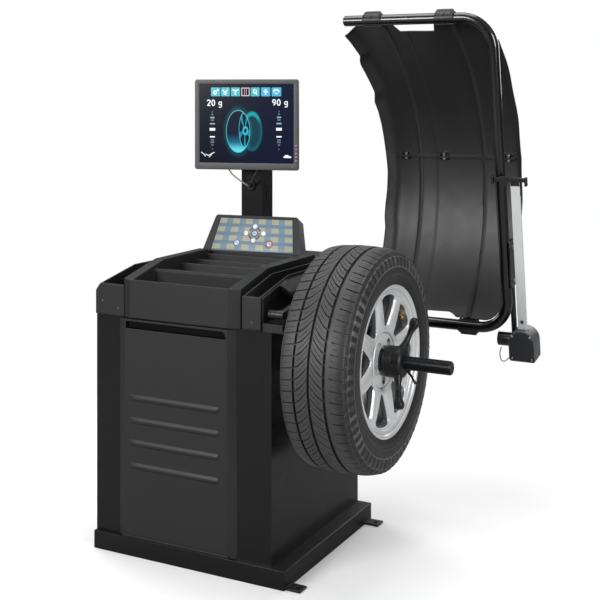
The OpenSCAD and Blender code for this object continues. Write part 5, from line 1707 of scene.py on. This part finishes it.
def shaft_and_springs():
    n, step, pitch = 60, 0.5, 3.0
    xs = [460.0]
    x = 460.5
    while x < 741.0:
        xs.append(x)
        x += step
    xs.append(741.0)
    v = []
    for x in xs:
        for k in range(n):
            a = 2 * pi * k / n
            p = ((x - 460) / pitch - k / n) % 1.0
            d = 0.95 * smoothstep(0.0, 0.28, p) * smoothstep(1.0, 0.62, p)
            if x > 738.5 or x < 462:
                d = 0.9 * (0.6 if x > 738.5 else 0.0)
            if 609 < x < 611:
                d = 1.1
            r = 20.0 - d
            v.append((x, -r * cos(a), r * sin(a)))
    f = grid_faces(len(xs), n, wrap_v=True)
    base = len(v)
    rings = [(741.6, 19.0), (744.0, 16.8), (744.0, 6.0), (742.2, 4.2), (736.2, 4.0), (735.0, 1.2)]
    for x, r in rings:
        for k in range(n):
            a = 2 * pi * k / n
            v.append((x, -r * cos(a), r * sin(a)))
    for i in range(len(rings)):
        a0 = base - n + i * n
        for k in range(n):
            f.append((a0 + k, a0 + n + k, a0 + n + (k + 1) % n, a0 + (k + 1) % n))
    f.append(tuple(len(v) - n + k for k in range(n)))
    f.append(tuple(range(n)))
    make("balance_shaft_thread", v, f, M["thread"], "spindle", xf=AXIS, smooth=40, rep="threaded_shaft", slot="blackened_steel", fix=True)

    c = Geo()
    c.add(*coil(468.4, 488.6, 27.2, 1.9, 2.6, 12, 40), xf=AXIS)
    c.out("cone_coil", M["spring"], "spindle", smooth=60, rep="cone_spring", slot="zinc", fix=True)
    h = Geo()
    pts = []
    m = 36 * 11
    for i in range(m + 1):
        t = i / m
        a = 2 * pi * 11 * t
        e = 0.04
        xx = 130.2 + 88.6 * (t if e < t < 1 - e else (e * smoothstep(0, e, t) if t <= e else 1 - e * smoothstep(1, 1 - e, t)))
        pts.append((xx, 23 * cos(a), 23 * sin(a)))
    h.add(*pipe(pts, 2.0, 12), xf=T((0, 470, 626)))
    h.out("hood_coil", M["spring"], "cabinet", smooth=60, rep="hood_spring", slot="zinc", fix=True)

    q = AXIS @ rot(-55, "X") @ T((500, 0, 202)) @ rot(130, "Y")
    s = Geo()
    v, f = lathe([(0, 0), (8.6, 0.0), (8.8, 2.0), (6.4, 4.0), (5.6, 8), (5.4, 20), (5.0, 27), (4.3, 31), (4.0, 33), (0, 33)], 32, "Z")
    s.add(v, f)
    s.out("valve_rubber", M["cable"], "spindle", xf=q, smooth=40, rep="valve_stem", slot="valve_brass", fix=True)
    s = Geo()
    v, f = lathe([(0, 32.8), (3.9, 32.8), (4.1, 34.2), (4.3, 35.0), (4.3, 45.4), (3.7, 47.2), (0, 48)], 12, "Z")
    s.add(v, f)
    s.out("valve_cap", painted("plastic_cap_yellow", "#c99a22", rough=0.4, edge_highlight=0.1), "spindle", xf=q, smooth=25, slot="valve_brass", fix=True)


shaft_and_springs()


# ------------------------------------------------------------------ CAD nodes that stay
def tidy_group(limit=32):
    g = bpy.data.node_groups.new("tidy_%d" % limit, "GeometryNodeTree")
    g.interface.new_socket("Geometry", in_out="INPUT", socket_type="NodeSocketGeometry")
    g.interface.new_socket("Geometry", in_out="OUTPUT", socket_type="NodeSocketGeometry")
    g.is_modifier = True
    i, o = g.nodes.new("NodeGroupInput"), g.nodes.new("NodeGroupOutput")
    rm = g.nodes.new("GeometryNodeRemoveAttribute")
    rm.inputs["Name"].default_value = "custom_normal"
    mg = g.nodes.new("GeometryNodeMergeByDistance")
    mg.inputs["Distance"].default_value = 0.000004
    ang = g.nodes.new("GeometryNodeInputMeshEdgeAngle")
    cmp_ = g.nodes.new("FunctionNodeCompare")
    cmp_.data_type, cmp_.operation = "FLOAT", "LESS_THAN"
    cmp_.inputs["B"].default_value = math.radians(limit)
    sf = g.nodes.new("GeometryNodeSetShadeSmooth")
    sf.domain = "FACE"
    se = g.nodes.new("GeometryNodeSetShadeSmooth")
    se.domain = "EDGE"
    L = g.links.new
    L(i.outputs[0], rm.inputs[0])
    L(rm.outputs[0], mg.inputs[0])
    L(mg.outputs[0], sf.inputs[0])
    L(sf.outputs[0], se.inputs[0])
    L(ang.outputs[0], cmp_.inputs["A"])
    L(cmp_.outputs[0], se.inputs["Shade Smooth"])
    L(se.outputs[0], o.inputs[0])
    return g


TIDY = {32: tidy_group(), 9: tidy_group(9)}


def dress(node, mat, width=1.0, seg=2, planar=0.6, angle=32):
    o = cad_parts[node]
    o.data.materials.clear()
    o.data.materials.append(mat)
    m = o.modifiers.new("tidy", "NODES")
    m.node_group = TIDY[angle]
    if width:
        d = o.modifiers.new("planar", "DECIMATE")
        d.decimate_type, d.angle_limit = "DISSOLVE", math.radians(planar)
        b = o.modifiers.new("bevel", "BEVEL")
        b.width, b.segments, b.limit_method, b.angle_limit = width * S, seg, "ANGLE", math.radians(angle)
        b.miter_outer = "MITER_ARC"
        w = o.modifiers.new("normals", "WEIGHTED_NORMAL")
        w.keep_sharp = True
    return o


KEEP = {
    "plinth": ("plinth", 1.6, 3), "cabinet_shell": ("paint", 2.2, 3), "rear_cover": ("paint", 0, 0), "front_cover": ("cover", 1.4, 3),
    "tray_centre": ("tray", 1.6, 3), "tray_left": ("tray", 1.8, 3), "tray_right": ("tray", 1.8, 3), "console_housing": ("console", 1.8, 3),
    "keypad_panel": ("console", 0.3, 1), "key_up": ("nut", 0.6, 2), "key_down": ("nut", 0.6, 2), "key_left": ("nut", 0.6, 2),
    "key_right": ("nut", 0.6, 2), "key_enter": ("nut", 0.6, 2), "key_stop": ("nut", 0.6, 2), "key_start": ("nut", 0.6, 2),
    "monitor_post": ("post", 1.4, 3), "post_grommet": ("grommet", 1.5, 3), "monitor_arm": ("grey", 0.8, 2), "monitor_housing": ("backshell", 2.0, 3),
    "monitor_bezel": ("bezel", 1.0, 2), "monitor_screen": ("backshell", 0.3, 1), "monitor_buttons": ("bezel", 0.5, 2), "monitor_cables": ("cable", 0, 0),
    "spindle_shaft": ("steel", 1.2, 2), "threaded_shaft": ("thread", 0.5, 2), "wheel_flange": ("flange", 1.0, 2), "drive_pulley": ("cast", 0.8, 2),
    "encoder_disc": ("steel", 0.2, 1), "bearing_housing": ("grey", 1.6, 2), "spindle_bearings": ("steel", 0.6, 2), "support_column": ("grey", 1.6, 2),
    "force_sensors": ("sensor", 1.0, 2), "motor": ("motor", 1.5, 2), "motor_pulley": ("steel", 0.8, 2), "drive_belt": ("belt", 0.5, 2),
    "control_board": ("board", 0.3, 1), "power_supply": ("alu", 1.2, 2), "power_inlet": ("inlet", 0.8, 2), "power_rocker": ("rocker", 0.7, 2),
    "tyre": ("belt", 0, 0), "rim": ("alu", 0.6, 2), "valve_stem": ("brass", 0.6, 2), "centring_cone": ("cast", 0.8, 2),
    "cone_spring": ("spring", 0, 0), "pressure_cup": ("nut", 1.2, 3), "wing_nut": ("nut", 1.2, 3), "release_lever": ("nut", 0.8, 2),
    "gauge_rod": ("steel", 0.8, 2), "gauge_arm": ("clip", 1.6, 3), "hood_bracket": ("paint", 1.4, 3), "hood_frame": ("tube", 0.4, 2),
    "hood_shell_upper": ("tray", 0, 0), "hood_shell_lower": ("tray", 0, 0), "hood_clips": ("clip", 0.8, 2), "hood_bolts": ("zinc", 0.6, 2),
    "hood_spring": ("spring", 0, 0), "width_gauge_mount": ("tube", 0.8, 2), "width_gauge_box": ("gaugebox", 1.2, 3), "width_gauge_bar": ("bar", 0.7, 2),
}
for node, (mat, w, seg) in KEEP.items():
    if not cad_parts[node].hide_render:
        dress(node, M[mat], w, seg or 1, angle=9 if node in ("tray_centre", "tray_left", "tray_right", "hood_bracket", "plinth", "cabinet_shell") else 32)


# ------------------------------------------------------------------ floor, light, camera
def stage():
    t = Tree("studio_floor")
    seen = t.n("ShaderNodeLightPath").outputs["Is Camera Ray"]
    pale = t.mix(t.noise(2.5, 3), (0.90, 0.90, 0.90), (0.93, 0.93, 0.93))
    t.set(color=t.mix(seen, (0.30, 0.30, 0.30), pale), rough=0.9)
    # seen straight, the floor keeps its shadows near the machine and fades into the white backdrop further away
    q, (x, y, z) = t.local(Matrix.Identity(4))
    far = t.ramp(t.math("SQRT", t.math("ADD", t.math("MULTIPLY", x, x), t.math("MULTIPLY", y, y))), 500.0, 2300.0)
    white = t.n("ShaderNodeEmission")
    white.inputs[0].default_value = (1, 1, 1, 1)
    lp = t.n("ShaderNodeLightPath")
    mx = t.n("ShaderNodeMixShader")
    t.l(t.math("MULTIPLY", far, lp.outputs["Is Camera Ray"]), mx.inputs[0])
    t.l(t.p.outputs[0], mx.inputs[1])
    t.l(white.outputs[0], mx.inputs[2])
    t.l(mx.outputs[0], t.out.inputs[0])
    me = bpy.data.meshes.new("studio_floor")
    n, R = 64, 14.0
    me.from_pydata([(R * cos(2 * pi * i / n), R * sin(2 * pi * i / n), -0.0005) for i in range(n)], [], [tuple(range(n))])
    me.materials.append(t.m)
    o = bpy.data.objects.new("studio_floor", me)
    bpy.context.scene.collection.objects.link(o)

    w = bpy.data.worlds.new("studio")
    bpy.context.scene.world = w
    w.use_nodes = True
    nt = w.node_tree
    nt.nodes.clear()
    out = nt.nodes.new("ShaderNodeOutputWorld")
    lp = nt.nodes.new("ShaderNodeLightPath")
    co = nt.nodes.new("ShaderNodeTexCoord")
    sep = nt.nodes.new("ShaderNodeSeparateXYZ")
    nt.links.new(co.outputs["Generated"], sep.inputs[0])
    mr = nt.nodes.new("ShaderNodeMapRange")
    mr.interpolation_type = "SMOOTHSTEP"
    nt.links.new(sep.outputs[2], mr.inputs[0])
    for i, x in enumerate((-0.1, 0.9, 0.10, 0.42)):
        mr.inputs[i + 1].default_value = x
    amb = nt.nodes.new("ShaderNodeBackground")
    nt.links.new(mr.outputs[0], amb.inputs[1])
    amb.inputs[0].default_value = (1, 1, 1, 1)
    cam = nt.nodes.new("ShaderNodeBackground")
    cam.inputs[0].default_value = (1, 1, 1, 1)
    cam.inputs[1].default_value = 1.0
    mix = nt.nodes.new("ShaderNodeMixShader")
    nt.links.new(lp.outputs["Is Camera Ray"], mix.inputs[0])
    nt.links.new(amb.outputs[0], mix.inputs[1])
    nt.links.new(cam.outputs[0], mix.inputs[2])
    nt.links.new(mix.outputs[0], out.inputs[0])

    def area(name, loc, aim, size, power, color=(1, 1, 1), size_y=None):
        l = bpy.data.lights.new(name, "AREA")
        l.shape = "RECTANGLE"
        l.size, l.size_y, l.energy, l.color = size, size_y or size, power, color
        ob = bpy.data.objects.new(name, l)
        ob.location = loc
        ob.rotation_euler = (Vector(aim) - Vector(loc)).to_track_quat("-Z", "Y").to_euler()
        bpy.context.scene.collection.objects.link(ob)
        return ob

    area("key", (-1.2, -4.2, 2.3), (0, 0, 0.55), 2.0, 170, size_y=1.6)
    area("top", (0.0, 0.2, 4.2), (0, 0, 0.5), 2.4, 75)
    area("side", (4.6, -1.6, 2.0), (0.3, 0, 0.8), 1.4, 120, size_y=2.2)
    area("back", (0.5, 4.2, 2.6), (0, 0, 0.9), 2.6, 80)
    area("back_left", (-4.0, 1.6, 2.2), (0, 0, 0.8), 1.8, 70)

    c = bpy.data.cameras.new("camera")
    c.sensor_width, c.lens = 36, 67.86
    ob = bpy.data.objects.new("camera", c)
    ob.location = (1.8272, -3.0794, 1.400)
    ob.rotation_euler = (math.radians(90), 0, math.radians(27.5))
    bpy.context.scene.collection.objects.link(ob)
    bpy.context.scene.camera = ob
    # the lens is shifted down only at the photograph's own standpoint; from any other place it is centred
    d = c.driver_add("shift_y").driver
    d.type = "SCRIPTED"
    for n, ch in (("x", "LOC_X"), ("y", "LOC_Y")):
        v = d.variables.new()
        v.name, v.type = n, "TRANSFORMS"
        v.targets[0].id = ob
        v.targets[0].transform_type = ch
        v.targets[0].transform_space = "WORLD_SPACE"
    d.expression = "-0.35 if abs(x - 1.8272) < 0.001 and abs(y + 3.0794) < 0.001 else 0.0"
    sc = bpy.context.scene
    sc.view_settings.view_transform = "Standard"
    sc.view_settings.look = "None"
    sc.view_settings.exposure = 0.0


stage()
